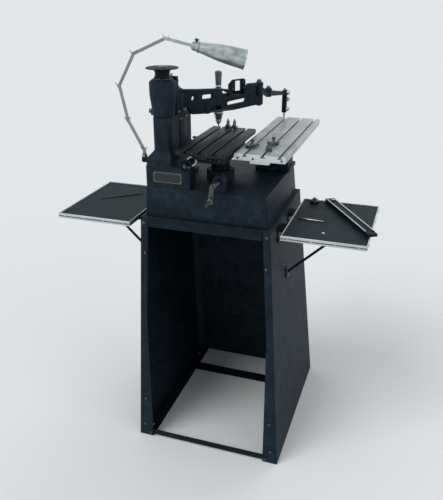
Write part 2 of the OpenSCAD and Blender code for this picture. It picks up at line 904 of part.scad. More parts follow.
// ================= head on the post =================
head_low = box_top + 1;
head_high = post_top + 16;
collar_r = post_d / 2 + 13.5;
lever_r = post_d / 2 + 11;
lever_z = head_low + 12;
module head() {
    ear_low = arm_root_low - 1 - ear_t;
    ear_high = arm_high + 1;
    color(paint)
        difference() {
            union() {
                // collar, a little narrower at its foot
                translate([post[0], post[1], head_low]) cylinder(r1 = collar_r - 8, r2 = collar_r, h = 66);
                rod_z(post, collar_r, head_low + 66, head_high - 8);
                translate([post[0], post[1], head_high - 8]) cylinder(r1 = collar_r, r2 = collar_r - 10, h = 8);
                translate([post[0] - lever_r, post[1], lever_z]) rotate([0, 90, 0]) cylinder(r = 9, h = 14);
                // yoke that carries the two ears
                box([post[0] - 6, post[0] + 33], [post[1] + 31, post[1] + 45], [ear_low, head_high + 4]);
                for (z = [ear_low, ear_high])
                    translate([0, 0, z])
                        linear_extrude(ear_t) {
                            translate(fulcrum) circle(hub_r);
                            bar2(post + [10, 44], fulcrum, hub_r - 2);
                        }
            }
            rod_z(post, post_d / 2 + run_gap, ear_low - 1, post_top + 2);
            rod_z(post, 8 + run_gap, post_top, head_high + 1);
            rod_z(fulcrum, fulcrum_d / 2 + run_gap, ear_low - 1, ear_high + ear_t + 1);
            // room for the arm's root between the ears
            rod_z(fulcrum, hub_r + 2, ear_low + ear_t, ear_high);
            // clamp screw at the left
            translate([post[0] - lever_r - 1, post[1], lever_z])
                rotate([0, 90, 0])
                    cylinder(d = 8 + 2 * run_gap, h = lever_r);
        }
}

module fulcrum_pin() {
    z0 = arm_root_low - 1 - ear_t;
    z1 = arm_high + 1 + ear_t;
    color(steel) {
        rod_z(fulcrum, fulcrum_d / 2, z0, z1);
        rod_z(fulcrum, fulcrum_d / 2 + 4, z1, z1 + 5);
    }
}

module head_clamp_lever() {
    color(steel)
        translate([post[0] - lever_r - 0.3, post[1], lever_z])
            rotate([0, -90, 0]) {
                translate([0, 0, -10]) cylinder(d = 8, h = 10);
                cylinder(r = 7, h = 8);
                translate([0, 0, 4]) rotate([75, 0, -150]) cylinder(r1 = 3, r2 = 2.4, h = 30);
                translate([0, 0, 4]) rotate([75, 0, -150]) translate([0, 0, 31]) sphere(4.5);
            }
}

module head_handwheel() {
    r = head_wheel_d / 2;
    z0 = head_high + 0.3;
    color(paint_dark)
        translate([post[0], post[1], z0])
            difference() {
                rotate_extrude($fn = 96) {
                    difference() {
                        square([29, 31]);
                        translate([41.5, 14.5]) circle(19);
                    }
                    translate([0, 30.5]) square([r - 1.6, 3.2]);
                    translate([r - 1.6, 32.1]) circle(1.6, $fn = 24);
                }
                translate([0, 0, -1]) cylinder(r = 8 + run_gap, h = 25);
            }
}

module lift_screw() {
    color(steel) rod_z(post, 8, box_top + 8, head_high + 24);
}

// ================= pantograph =================
// Local frame of an arm: +X along it, origin at its pivot, turned by "a"
module arm_frame(at, a) {
    translate([at[0], at[1], 0]) rotate(a) children();
}

module main_arm() {
    a = main_len;
    c = ratio * main_len;
    w = arm_t / 2;
    color(paint)
        arm_frame(fulcrum, main_angle)
            difference() {
                union() {
                    along_y(-w, arm_t)
                        difference() {
                            polygon([
                                [0, arm_root_low],
                                [36, arm_root_low],
                                [50, arm_low + 3],
                                [c - 20, arm_low],
                                [c + 20, arm_low],
                                [0.66 * a, arm_low - 1],
                                [a - 18, elbow_low],
                                [a, elbow_low],
                                [a, elbow_mid],
                                [a - 20, elbow_mid],
                                [a - 20, fork_high],
                                [a - 46, fork_high],
                                [a - 57, fork_high - 10],
                                [a - 58, elbow_mid + 8],
                                [0.655 * a, elbow_mid + 10],
                                [0.61 * a, arm_high - 8],
                                [0.45 * a, arm_high - 1],
                                [0.25 * a, arm_high + 3],
                                [24, arm_high + 8],
                                [24, arm_high],
                                [0, arm_high]
                            ]);
                            // lightening windows along the casting
                            translate([0.175 * a, deck_z + 253]) circle(8);
                            translate([0.34 * a, deck_z + 253]) rounded(42, 15, 4);
                            translate([0.56 * a, deck_z + 257]) rotate(-30) rounded(32, 10, 4.9);
                            translate([0.70 * a, deck_z + 225]) rotate(4) rounded(80, 14, 6.9);
                        }
                    // fork that holds the stylus arm's eye
                    box([a - 48, a - 20], [-10, 10], [elbow_low, fork_high]);
                    box([a - 21, a], [-9, 9], [elbow_low, elbow_mid]);
                    box([a - 21, a], [-9, 9], [elbow_high + 0.3, fork_high]);
                    rod_z([0, 0], hub_r, arm_root_low, arm_high);
                    rod_z([a, 0], elbow_r, elbow_low, elbow_mid);
                    rod_z([a, 0], elbow_r, elbow_high + 0.3, fork_high);
                    rod_z([c, 0], 12, arm_low, link_high + 14);
                }
                rod_z([0, 0], fulcrum_d / 2 + run_gap, arm_root_low - 1, arm_high + 1);
                rod_z([a, 0], pin_d / 2 + run_gap, elbow_low - 1, fork_high + 1);
                rod_z([c, 0], pin_d / 2 + run_gap, arm_low - 1, link_high + 12);
                // slot in which the spindle link turns
                box([c - 15, c + 54], [-20, 20], [link_low - 0.3, link_high + 0.3]);
            }
}

// Pins held in the main arm: the elbow's and the spindle link's
module arm_pins() {
    color(steel) {
        rod_z(elbow, pin_d / 2, elbow_low - 1, fork_high + 1);
        rod_z(elbow, pin_d / 2 + 4, elbow_low - 4, elbow_low);
        rod_z(elbow, pin_d / 2 + 4, fork_high, fork_high + 5);
        rod_z(crook, pin_d / 2, arm_low - 1, link_high + 11.7);
        rod_z(crook, pin_d / 2 + 3, arm_low - 2, arm_low);
    }
}

module stylus_arm() {
    a = stylus_len;
    d = ratio * stylus_len;
    w = 6;
    color(paint)
        arm_frame(elbow, stylus_angle)
            difference() {
                union() {
                    rod_z([0, 0], elbow_r - 0.5, elbow_mid + 0.3, elbow_high);
                    // deep at the elbow, slim at the stylus
                    along_y(-w, 2 * w)
                        polygon([
                            [8, elbow_mid + 2],
                            [28, elbow_mid + 1],
                            [58, elbow_mid - 14],
                            [a - stylus_block_w / 2, elbow_mid - 31],
                            [a - stylus_block_w / 2, elbow_mid - 19],
                            [d + 13, rear_low - 0.3],
                            [d - 31, rear_low - 0.3],
                            [28, elbow_mid + 20],
                            [8, elbow_mid + 24]
                        ]);
                    rod_z([d, 0], 10, rear_boss_low, rear_low - 0.3);
                }
                rod_z([0, 0], pin_d / 2 + run_gap, elbow_mid - 1, elbow_high + 1);
                rod_z([d, 0], pin_d / 2, rear_boss_low - 1, rear_low + 60);
            }
}

module rear_pivot_cap() {
    color(steel) {
        rod_z(rear_p, pin_d / 2, rear_boss_low, rear_high + 4);
        rod_z(rear_p, 8, rear_high + 0.3, rear_high + 6);
    }
}

eye_r = housing_d / 2 + 3.5;
module rear_link() {
    d = axis_s - rear_p;
    color(paint)
        difference() {
            union() {
                translate([0, 0, rear_low])
                    linear_extrude(rear_high - rear_low) {
                        bar2(rear_p, axis_s, 8);
                        translate(axis_s) circle(eye_r);
                        translate(rear_p) circle(12);
                    }
                // rib behind the ratio block
                arm_frame(axis_s, main_angle)
                    box([ratio_x[1], 0.8 * norm(d)], [-5, 5], [rear_high - 1, rear_high + 16]);
            }
            rod_z(rear_p, pin_d / 2 + run_gap, rear_low - 1, rear_high + 1);
            rod_z(axis_s, housing_d / 2 + 0.5, rear_low - 1, rear_high + 1);
        }
}

// Slotted clamp block that rides on the rear link
ratio_x = [42, 109];
module ratio_block() {
    x0 = ratio_x[0];
    x1 = ratio_x[1];
    z0 = rear_high;
    z1 = rear_high + 43;
    color(paint_dark)
        arm_frame(axis_s, main_angle)
            along_y(-5, 10)
                difference() {
                    polygon([[x0, z0], [x1, z0], [x1, z1 - 6], [x1 - 5, z1], [x0 + 16, z1 - 1], [x0, z1 - 16]]);
                    translate([x0 + 24, z0 + 4]) square([25, 34]);
                }
}

module spindle_link() {
    color(paint)
        difference() {
            translate([0, 0, link_low])
                linear_extrude(link_high - link_low) {
                    bar2(crook, axis_s, 9);
                    translate(crook) circle(12);
                    translate(axis_s) circle(housing_d / 2 + 5.5);
                }
            rod_z(crook, pin_d / 2 + run_gap, link_low - 1, link_high + 1);
            rod_z(axis_s, housing_d / 2, link_low - 1, link_high + 1);
        }
}

module spindle_housing() {
    color(paint_dark)
        translate([axis_s[0], axis_s[1], 0])
            difference() {
                union() {
                    translate([0, 0, housing_low]) cylinder(r1 = 11.5, r2 = nose_r, h = 20);
                    rod_z([0, 0], nose_r, housing_low + 20, link_low);
                    rod_z([0, 0], housing_d / 2, link_low, housing_high);
                }
                rod_z([0, 0], quill_d / 2 + run_gap, housing_low - 1, housing_high + 1);
            }
}

quill_low = housing_low - 3;
quill_high = housing_high + 3;
module quill() {
    color(steel)
        translate([axis_s[0], axis_s[1], 0])
            difference() {
                union() {
                    rod_z([0, 0], quill_d / 2, quill_low, quill_high);
                    rod_z([0, 0], quill_d / 2 + 3, housing_high + 0.3, quill_high);
                    rod_z([0, 0], quill_d / 2 + 2, quill_low - 4, quill_low);
                }
                rod_z([0, 0], spindle_d / 2 + run_gap, quill_low - 5, quill_high + 1);
            }
}

collet_z = cutter_tip + 12;
module spindle() {
    color(steel)
        translate([axis_s[0], axis_s[1], 0])
            difference() {
                union() {
                    rod_z([0, 0], spindle_d / 2, collet_z, quill_high + 20);
                    translate([0, 0, collet_z]) cylinder(r1 = 4, r2 = 9.5, h = quill_low - 4.3 - collet_z);
                }
                rod_z([0, 0], cutter_d / 2, collet_z - 1, collet_z + 14);
            }
}

module cutter() {
    color(steel)
        translate([axis_s[0], axis_s[1], 0]) {
            rod_z([0, 0], cutter_d / 2, cutter_tip + 7, collet_z + 13);
            translate([0, 0, cutter_tip]) cylinder(r1 = 0.3, r2 = cutter_d / 2, h = 7);
        }
}

module spindle_pulley() {
    z0 = quill_high + 0.5;
    color(alloy)
        translate([axis_s[0], axis_s[1], z0])
            difference() {
                rotate_extrude()
                    difference() {
                        square([15, 10]);
                        polygon([[16, 2], [16, 8], [11.5, 5.6], [11.5, 4.4]]);
                    }
                translate([0, 0, -1]) cylinder(d = spindle_d, h = 12);
            }
}

module draw_knob() {
    z0 = quill_high + 10.5;
    color(alloy)
        translate([axis_s[0], axis_s[1], z0])
            difference() {
                rotate_extrude()
                    polygon([[0, 0], [8.5, 0], [8.5, 5], [9.5, 8], [10.5, 30], [12, 50], [11, 54], [0, 55]]);
                translate([0, 0, -1]) cylinder(d = spindle_d, h = 11);
            }
}

module stylus_block() {
    w = stylus_block_w;
    color(paint_dark)
        arm_frame(tip, stylus_angle)
            difference() {
                translate([-w / 2, -w / 2, stylus_block_low])
                    cube([w, w, stylus_block_high - stylus_block_low]);
                rod_z([0, 0], stylus_d / 2 + run_gap, stylus_block_low - 1, stylus_block_high + 1);
            }
}

// Three clamp screws on the side of the stylus block
module stylus_knobs() {
    w = stylus_block_w;
    color(steel)
        arm_frame(tip, stylus_angle)
            for (z = [stylus_block_low + 14, stylus_block_low + 50, stylus_block_high - 9])
                translate([0, -w / 2, z]) rotate([90, 0, 0]) knob(7, 12);
}

module stylus() {
    color(steel)
        translate([tip[0], tip[1], 0]) {
            rod_z([0, 0], stylus_d / 2, stylus_tip + 12, stylus_block_high + 7);
            translate([0, 0, stylus_tip + 1.5]) cylinder(r1 = 1.2, r2 = stylus_d / 2, h = 10.5);
            translate([0, 0, stylus_tip + 1.5]) sphere(1.5, $fn = 24);
            rod_z([0, 0], stylus_d / 2 + 2, stylus_block_high + 0.3, stylus_block_high + 5);
        }
}

// ================= lamp =================
// Vertical plane of the lamp: local X along it, local Z up, local Y across it
module lamp_plane() {
    translate(lamp_foot) rotate(lamp_turn) children();
}

module lamp_bracket() {
    face_x = foot_x[0];
    z = lamp_foot[2];
    color(paint_dark)
        difference() {
            union() {
                box([face_x - 8, face_x], [lamp_foot[1] - 16, lamp_foot[1] + 16], [z - 52, z - 12]);
                translate([0, 0, z - 40])
                    linear_extrude(16)
                        bar2([face_x - 11, lamp_foot[1]], [lamp_foot[0], lamp_foot[1]], 10);
            }
            rod_z([lamp_foot[0], lamp_foot[1]], 4 + run_gap, z - 41, z - 20);
        }
}

// Swivelling foot with the first hinge at its top
module lamp_base() {
    w = lamp_arm_w / 2;
    color(steel)
        lamp_plane() {
            rod_z([0, 0], 4, -39, -20);
            rod_z([0, 0], 8, -23.7, -14);
            difference() {
                translate([-w, -lamp_arm_t / 2, -16]) cube([2 * w, lamp_arm_t, 16]);
                translate([0, 10, 0]) rotate([90, 0, 0]) cylinder(r = bolt_r + run_gap, h = 20);
            }
            difference() {
                translate([0, lamp_arm_t / 2, 0]) rotate([90, 0, 0]) cylinder(r = w, h = lamp_arm_t);
                translate([0, 10, 0]) rotate([90, 0, 0]) cylinder(r = bolt_r + run_gap, h = 20);
            }
        }
}

// Pivot bolt with a wing nut, about local Y
module wing_bolt(y0, y1) {
    translate([0, y1, 0]) rotate([90, 0, 0]) cylinder(r = bolt_r, h = y1 - y0);
    translate([0, y0, 0]) rotate([90, 0, 0]) cylinder(r = 5, h = 5);
    for (s = [-1, 1])
        translate([s * 3.3, y0 - 4.2, 0])
            rotate([0, s * 32, 0])
                translate([-1.2, 0, 1])
                    cube([2.4, 3.4, 12]);
    translate([0, y1 + 3, 0]) rotate([90, 0, 0]) cylinder(r = 4.5, h = 3);
}

// Flat arm n between its two hinges; odd and even arms lie side by side
module lamp_arm(n) {
    side = n % 2 == 1 ? -lamp_side : 0;
    w = lamp_arm_w / 2;
    a = lamp_at(n - 1);
    b = lamp_at(n);
    color(steel)
        lamp_plane() {
            difference() {
                along_y(side - lamp_arm_t / 2, lamp_arm_t) bar2(a, b, w);
                for (p = [a, b])
                    translate([p[0], 10, p[1]]) rotate([90, 0, 0]) cylinder(r = bolt_r + run_gap, h = 30);
            }
            translate([a[0], 0, a[1]]) wing_bolt_for(n);
        }
}

// The wing bolt sits at each arm's lower hinge, outside both arms
module wing_bolt_for(n) {
    low = -lamp_side - lamp_arm_t / 2 - 0.3;
    high = lamp_arm_t / 2 + 0.3;
    wing_bolt(low, high);
}

module lamp_arm_1() { lamp_arm(1); }
module lamp_arm_2() { lamp_arm(2); }
module lamp_arm_3() { lamp_arm(3); }
module lamp_arm_4() { lamp_arm(4); }

// Frame of the lamp's head: local X along the shade
module lamp_head() {
    p = lamp_at(4);
    lamp_plane() translate([p[0], -lamp_side, p[1]]) rotate([0, -lamp_dirs[4], 0]) children();
}

socket_x = 90;
module lamp_socket() {
    w = lamp_arm_w / 2;
    color(enamel)
        lamp_head() {
            difference() {
                along_y(-lamp_arm_t / 2, lamp_arm_t)
                    bar2([0, 0], [socket_x - 6, 0], w);
                translate([0, 10, 0]) rotate([90, 0, 0]) cylinder(r = bolt_r + run_gap, h = 30);
            }
            translate([0, lamp_side, 0]) wing_bolt_for(5);
            translate([socket_x - 10, 0, 0])
                rotate([0, 90, 0])
                    rotate_extrude()
                        polygon([[0, 0], [9, 0], [13, 5], [14, 12], [14, 38], [0, 38]]);
        }
}

shade_x = socket_x + 20;
module lamp_shade() {
    t = 1.6;
    r0 = 14.3;
    l = shade_l;
    r = shade_r;
    color(enamel)
        lamp_head()
            translate([shade_x - 10, 0, 0])
                rotate([0, 90, 0])
                    rotate_extrude($fn = 64)
                        polygon([
                            [r0, 0], [r0 + t, 0], [r0 + t, 12], [r * 0.66, l * 0.22],
                            [r * 0.83, l * 0.45], [r * 0.93, l * 0.7], [r, l], [r - t, l],
                            [r * 0.93 - t, l * 0.7], [r * 0.83 - t, l * 0.45], [r * 0.66 - t, l * 0.22], [r0, 12]
                        ]);
}

module lamp_bulb() {
    color(enamel)
        lamp_head()
            translate([socket_x + 28, 0, 0])
                rotate([0, 90, 0])
                    rotate_extrude()
                        polygon([
                            [0, 0], [9, 0], [10, 18], [17, 42], [19, 56], [16, 70], [9, 78], [0, 80],
                            [0, 79], [8.6, 77], [15.2, 69.4], [18, 56], [16, 42.4], [9, 18.4], [8, 14], [0, 14]
                        ]);
}

stand_side_left();
stand_side_right();
stand_back();
stand_top();
letter_slide();
front_floor_bar();
rear_floor_bar();
shelf_left();
shelf_right();
shelf_edging();
shelf_brackets();
shelf_struts();
stand_bolts();
machine_base();
base_bolts();
column();
badge_plate();
copy_pedestal();
crank_bearing();
lamp_bracket();
knee();
saddle();
work_table();
work_clamps();
table_handwheel();
cross_handwheel();
knee_crank();
crank_grip();
head();
fulcrum_pin();
head_handwheel();
lift_screw();
head_clamp_lever();
main_arm();
arm_pins();
stylus_arm();
stylus_block();
stylus_knobs();
rear_pivot_cap();
rear_link();
ratio_block();
spindle_link();
spindle_housing();
quill();
spindle();
cutter();
spindle_pulley();
draw_knob();
stylus();
copy_table();
copy_clamps();
copy_lock_knob();
lamp_base();
lamp_arm_1();
lamp_arm_2();
lamp_arm_3();
lamp_arm_4();
lamp_socket();
lamp_shade();
lamp_bulb();
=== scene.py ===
"""Finishes, fittings and stage of a pantograph engraving machine on its stand."""

import json
import math

import bpy
from mathutils import Matrix, Vector


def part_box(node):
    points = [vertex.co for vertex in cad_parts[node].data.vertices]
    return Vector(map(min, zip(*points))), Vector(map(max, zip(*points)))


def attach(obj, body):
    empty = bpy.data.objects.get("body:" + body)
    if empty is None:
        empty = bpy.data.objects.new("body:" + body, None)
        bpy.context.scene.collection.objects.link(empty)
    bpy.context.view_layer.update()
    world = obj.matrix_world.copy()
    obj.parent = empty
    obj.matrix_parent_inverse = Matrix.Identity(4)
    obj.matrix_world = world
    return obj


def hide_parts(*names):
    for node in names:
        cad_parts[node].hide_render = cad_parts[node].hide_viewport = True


bl_info = {
    "name": "Pantograph engraving machine",
    "version": (1, 0, 0),
    "blender": (4, 5, 0),
    "location": "3D View > Sidebar > Engraver",
    "description": "Finishes and fittings of a pantograph engraving machine, and its stage",
    "category": "Object",
}

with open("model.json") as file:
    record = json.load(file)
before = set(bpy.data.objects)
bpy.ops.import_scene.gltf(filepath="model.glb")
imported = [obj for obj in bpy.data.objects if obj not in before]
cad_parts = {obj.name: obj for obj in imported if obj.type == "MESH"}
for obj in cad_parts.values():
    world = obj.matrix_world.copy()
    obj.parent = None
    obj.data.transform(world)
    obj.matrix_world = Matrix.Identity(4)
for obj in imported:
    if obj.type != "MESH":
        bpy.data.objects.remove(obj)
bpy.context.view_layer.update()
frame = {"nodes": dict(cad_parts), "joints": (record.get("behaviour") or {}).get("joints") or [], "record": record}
BODY_OF = {node: body for body, nodes in frame["record"]["behaviour"]["bodies"].items()
           for node in nodes}
PIVOT = {joint["name"]: Vector(joint["pos_m"]) for joint in frame["joints"] if joint.get("pos_m")}
UP = Vector((0.0, 0.0, 1.0))
RIGHT = Vector((1.0, 0.0, 0.0))
FRONT = Vector((0.0, -1.0, 0.0))
SINK = 0.0002                       # how far a fitting sits into what carries it

# Places on the solids that no node's box gives, in metres. The stand's screws are
# given by their distance from the middle and their height.
LEAN = math.atan(0.054 / 0.900)     # the angle of the stand's sides from upright
FLANGE_SCREWS = ((0.2055, 0.878), (0.2065, 0.772), (0.2440, 0.052), (0.2360, 0.172))
BRACKET_SCREW = (0.2238, 0.8415)
STRUT_SCREW = (0.2335, 0.667)
RIM = 0.003                         # how far the edging stands past a shelf board
EDGING_RISE = 0.001                 # how far the edging's middle is above the board's
SLIDE_START = Vector((0.33374, 0.060, 0.8981))      # the letter slide's two ends
SLIDE_END = Vector((0.51174, -0.230, 0.8981))
HOLDER_PLACE = (0.2865, 0.032)      # what lies loose on the two shelves
SCRIBER_START = (-0.4491, -0.1637)
SCRIBER_END = (-0.3237, -0.0667)
COLUMN_RIGHT = -0.118               # the right faces of column, head and saddle
HEAD_RIGHT = -0.117
SADDLE_RIGHT = 0.030
ARM_HALF = 0.008                    # half the main arm's width at its scale
ARM_SCALE_FOOT = 1.2025
BLOCK_HALF = 0.0075                 # half the stylus block's depth
KNOB_LEVELS = (1.154, 1.190, 1.214)
PIN_OFFSET = 0.0043                 # from the shade's hinge to the lamp's middle plane
LAMP_TURN = 20.0                    # the shade's direction in plan and its fall, in degrees
LAMP_FALL = -14.4

# Plain colours of small parts
TABLE_BLACK = (0.028, 0.034, 0.039)
OPAL = (0.86, 0.86, 0.82)
GRIP_BLACK = (0.012, 0.012, 0.013)
DARK_FILL = (0.02, 0.02, 0.022)
PALE_FILL = (0.72, 0.74, 0.74)
WORN_LINE = (0.17, 0.20, 0.21)

# Camera, lights and backdrop
CAMERA_PLACE = (0.614, -1.985)
CAMERA_TILT = 66.0
CAMERA_TURN = 18.42
CAMERA_LENS = 43.77
CAMERA_SENSOR = 36.0
LIGHT_AIM = Vector((0.0, 0.0, 0.9))
LIGHTS = (                          # name, place, strength, width in degrees
    ("key_light", (-1.5, -2.2, 3.6), 1.30, 36.0),
    ("fill_light", (3.0, -1.4, 2.0), 0.45, 50.0),
    ("back_light", (1.4, 3.0, 2.2), 0.50, 40.0),
)
SKY_COLOUR = (0.95, 0.97, 1.0, 1.0)
SKY_STRENGTH = 0.52
BACKDROP_STRENGTH = 0.9
BACKDROP_BLUE = 1.03                # the backdrop is a little cooler than the floor
FLOOR_SIZE = 120.0


# ---------------------------------------------------------------- settings
class EngraverSizes(bpy.types.PropertyGroup):
    cast_round: bpy.props.FloatProperty(
        name="Casting edges", description="Rounding of the castings' edges",
        default=0.003, unit="LENGTH")
    sheet_round: bpy.props.FloatProperty(
        name="Sheet edges", description="Rounding of the sheet metal's edges",
        default=0.0007, unit="LENGTH")
    fine_round: bpy.props.FloatProperty(
        name="Fine edges", description="Rounding of machined parts' edges",
        default=0.0006, unit="LENGTH")
    screw_head: bpy.props.FloatProperty(
        name="Screw head", description="Diameter of the stand's screw heads",
        default=0.011, unit="LENGTH")
    table_grip: bpy.props.FloatProperty(
        name="Table wheel grip", description="Distance of the table wheel's grip from its axis",
        default=0.0165, unit="LENGTH")
    cross_grip: bpy.props.FloatProperty(
        name="Cross wheel grip", description="Distance of the cross wheel's grip from its axis",
        default=0.0185, unit="LENGTH")
    shade_mouth: bpy.props.FloatProperty(
        name="Shade mouth", description="Radius of the lamp shade's mouth",
        default=0.030, unit="LENGTH")
    camera_height: bpy.props.FloatProperty(
        name="Camera height", description="Height of the camera above the floor",
        default=1.600, unit="LENGTH")


class EngraverColours(bpy.types.PropertyGroup):
    machine: bpy.props.FloatVectorProperty(
        name="Machine paint", description="Enamel on the castings",
        default=(0.0090, 0.0160, 0.0235), subtype="COLOR", min=0.0, max=1.0)
    stand: bpy.props.FloatVectorProperty(
        name="Stand paint", description="Enamel on the stand's sheets",
        default=(0.0090, 0.0160, 0.0240), subtype="COLOR", min=0.0, max=1.0)
    dark: bpy.props.FloatVectorProperty(
        name="Dark parts", description="Black finish of bars, struts and the work table",
        default=(0.0060, 0.0095, 0.0145), subtype="COLOR", min=0.0, max=1.0)
    alloy: bpy.props.FloatVectorProperty(
        name="Alloy", description="Machined light alloy",
        default=(0.50, 0.53, 0.54), subtype="COLOR", min=0.0, max=1.0)
    steel: bpy.props.FloatVectorProperty(
        name="Steel", description="Bright turned steel",
        default=(0.46, 0.48, 0.49), subtype="COLOR", min=0.0, max=1.0)
    board: bpy.props.FloatVectorProperty(
        name="Shelf board", description="Dark covering of the shelves",
        default=(0.0090, 0.0165, 0.0205), subtype="COLOR", min=0.0, max=1.0)
    shade: bpy.props.FloatVectorProperty(
        name="Lamp shade", description="Pale enamel of the lamp shade",
        default=(0.50, 0.55, 0.56), subtype="COLOR", min=0.0, max=1.0)
    floor: bpy.props.FloatVectorProperty(
        name="Floor", description="Plain floor and background",
        default=(0.86, 0.88, 0.88), subtype="COLOR", min=0.0, max=1.0)


def sizes():
    return bpy.context.scene.engraver_sizes


def colours():
    return bpy.context.scene.engraver_colours


# ---------------------------------------------------------------- shader maths
class Value:
    """An output of a node. Arithmetic on it adds Math nodes."""

    def __init__(self, tree, socket):
        self.tree = tree
        self.socket = socket

    def _math(self, operation, first, second):
        node = self.tree.nodes.new("ShaderNodeMath")
        node.operation = operation
        for slot, value in zip(node.inputs, (first, second)):
            if isinstance(value, Value):
                self.tree.links.new(value.socket, slot)
            else:
                slot.default_value = value
        return Value(self.tree, node.outputs[0])

    def __add__(self, other):
        return self._math("ADD", self, other)

    def __radd__(self, other):
        return self._math("ADD", other, self)

    def __sub__(self, other):
        return self._math("SUBTRACT", self, other)

    def __rsub__(self, other):
        return self._math("SUBTRACT", other, self)

    def __mul__(self, other):
        return self._math("MULTIPLY", self, other)

    def __rmul__(self, other):
        return self._math("MULTIPLY", other, self)

    def above(self, limit):
        return self._math("GREATER_THAN", self, limit)


class Finish:
    """A material, built up from named nodes on Object coordinates."""

    def __init__(self, name, **sockets):
        self.material = bpy.data.materials.new(name)
        self.material.use_nodes = True
        self.tree = self.material.node_tree
        self.shader = self.tree.nodes["Principled BSDF"]
        for key, value in sockets.items():
            self.feed(self.shader.inputs[key.replace("_", " ")], value)
        self.place = self.node("ShaderNodeTexCoord", output="Object")

    def feed(self, slot, value):
        if isinstance(value, Value):
            self.tree.links.new(value.socket, slot)
        elif slot.type == "RGBA":
            slot.default_value = (value[0], value[1], value[2], 1.0)
        else:
            slot.default_value = value

    def node(self, kind, settings=None, output=0, **values):
        made = self.tree.nodes.new(kind)
        for key, value in (settings or {}).items():
            if key == "stops":
                for stop, (place, shade) in zip(made.color_ramp.elements, value):
                    stop.position = place
                    stop.color = (shade, shade, shade, 1.0)
            else:
                setattr(made, key, value)
        for key, value in values.items():
            self.feed(made.inputs[key.replace("_", " ")], value)
        return Value(self.tree, made.outputs[output])

    def stretched(self, x, y, z):
        return self.node("ShaderNodeMapping", Vector=self.place, Scale=(x, y, z))

    def noise(self, scale, detail=3.0, place=None):
        return self.node("ShaderNodeTexNoise", Vector=place or self.place,
                         Scale=scale, Detail=detail, Roughness=0.6)

    def ramp(self, value, low, high):
        return self.node("ShaderNodeValToRGB", {"stops": ((low, 0.0), (high, 1.0))}, Fac=value)

    def mix(self, factor, first, second):
        made = self.tree.nodes.new("ShaderNodeMix")
        made.data_type = "RGBA"
        for slot, value in ((0, factor), (6, first), (7, second)):
            self.feed(made.inputs[slot], value)
        return Value(self.tree, made.outputs[2])

    def set(self, **sockets):
        for key, value in sockets.items():
            self.feed(self.shader.inputs[key.replace("_", " ")], value)

    def bump(self, height, strength, distance):
        self.set(Normal=self.node("ShaderNodeBump", Height=height, Strength=strength,
                                  Distance=distance))


def tint(colour, factor):
    return tuple(min(1.0, c * factor) for c in colour)


def enamel(name, colour, grain, roughness=0.50):
    """Sprayed enamel: slightly uneven gloss, a fine skin and a little dust that lies on top."""
    paint = Finish(name, Specular_IOR_Level=0.09)
    cloud = paint.ramp(paint.noise(scale=9.0, detail=4.0), low=0.35, high=0.75)
    sprayed = paint.mix(cloud, tint(colour, 0.75), tint(colour, 1.30))
    dust = paint.ramp(paint.noise(scale=38.0, detail=7.0), low=0.48, high=0.74) * 0.42
    paint.set(
        Base_Color=paint.mix(dust, sprayed, tint(colour, 3.0)),
        Roughness=roughness - 0.05 + paint.noise(scale=26.0, detail=5.0) * 0.14,
    )
    paint.bump(paint.noise(scale=grain), strength=0.24, distance=0.0006)
    return paint.material


def machined(name, colour, along, roughness=0.30, worn=0.84):
    """Machined metal with fine lines along one axis and faint handling marks."""
    metal = Finish(name, Metallic=1.0)
    lines = metal.noise(scale=1.0, detail=4.0, place=metal.stretched(*along))
    handled = metal.ramp(metal.noise(scale=14.0, detail=5.0), low=0.3, high=0.8)
    metal.set(
        Base_Color=metal.mix(handled, tint(colour, worn), tint(colour, 1.04)),
        Roughness=roughness - 0.08 + lines * 0.16 + metal.noise(scale=40.0, detail=4.0) * 0.08,
    )
    metal.bump(lines, strength=0.10, distance=0.0002)
    return metal.material


def streaked(name, colour, roughness):
    """Thin spun metal with soft streaks and tarnish, as on an old lamp shade."""
    metal = Finish(name, Metallic=0.75)
    streaks = metal.noise(scale=1.0, detail=5.0, place=metal.stretched(22.0, 22.0, 90.0))
    tarnish = metal.ramp(metal.noise(scale=24.0, detail=6.0), low=0.40, high=0.70)
    worn = metal.mix(tarnish, tint(colour, 0.52), tint(colour, 1.15))
    bright = metal.ramp(streaks, low=0.45, high=0.75) * 0.5
    metal.set(
        Base_Color=metal.mix(bright, worn, tint(colour, 1.5)),
        Roughness=roughness - 0.06 + streaks * 0.16,
    )
    metal.bump(streaks, strength=0.12, distance=0.0003)
    return metal.material


def plain(name, colour, roughness):
    """One even colour with a slightly uneven gloss."""
    dull = Finish(name, Base_Color=tuple(colour))
    dull.set(Roughness=roughness - 0.04 + dull.noise(scale=60.0) * 0.08)
    return dull.material


def board_cover(name, colour):
    """Dark sheet covering with faint marbling."""
    cover = Finish(name, Specular_IOR_Level=0.10)
    veins = cover.noise(scale=34.0, detail=6.0, place=cover.stretched(1.0, 0.35, 1.0))
    marbled = cover.ramp(veins, low=0.42, high=0.72)
    cover.set(
        Base_Color=cover.mix(marbled, tuple(colour), tint(colour, 2.0)),
        Roughness=0.46 + veins * 0.16,
    )
    cover.bump(cover.noise(scale=420.0), strength=0.08, distance=0.0002)
    return cover.material


FINISH = {}


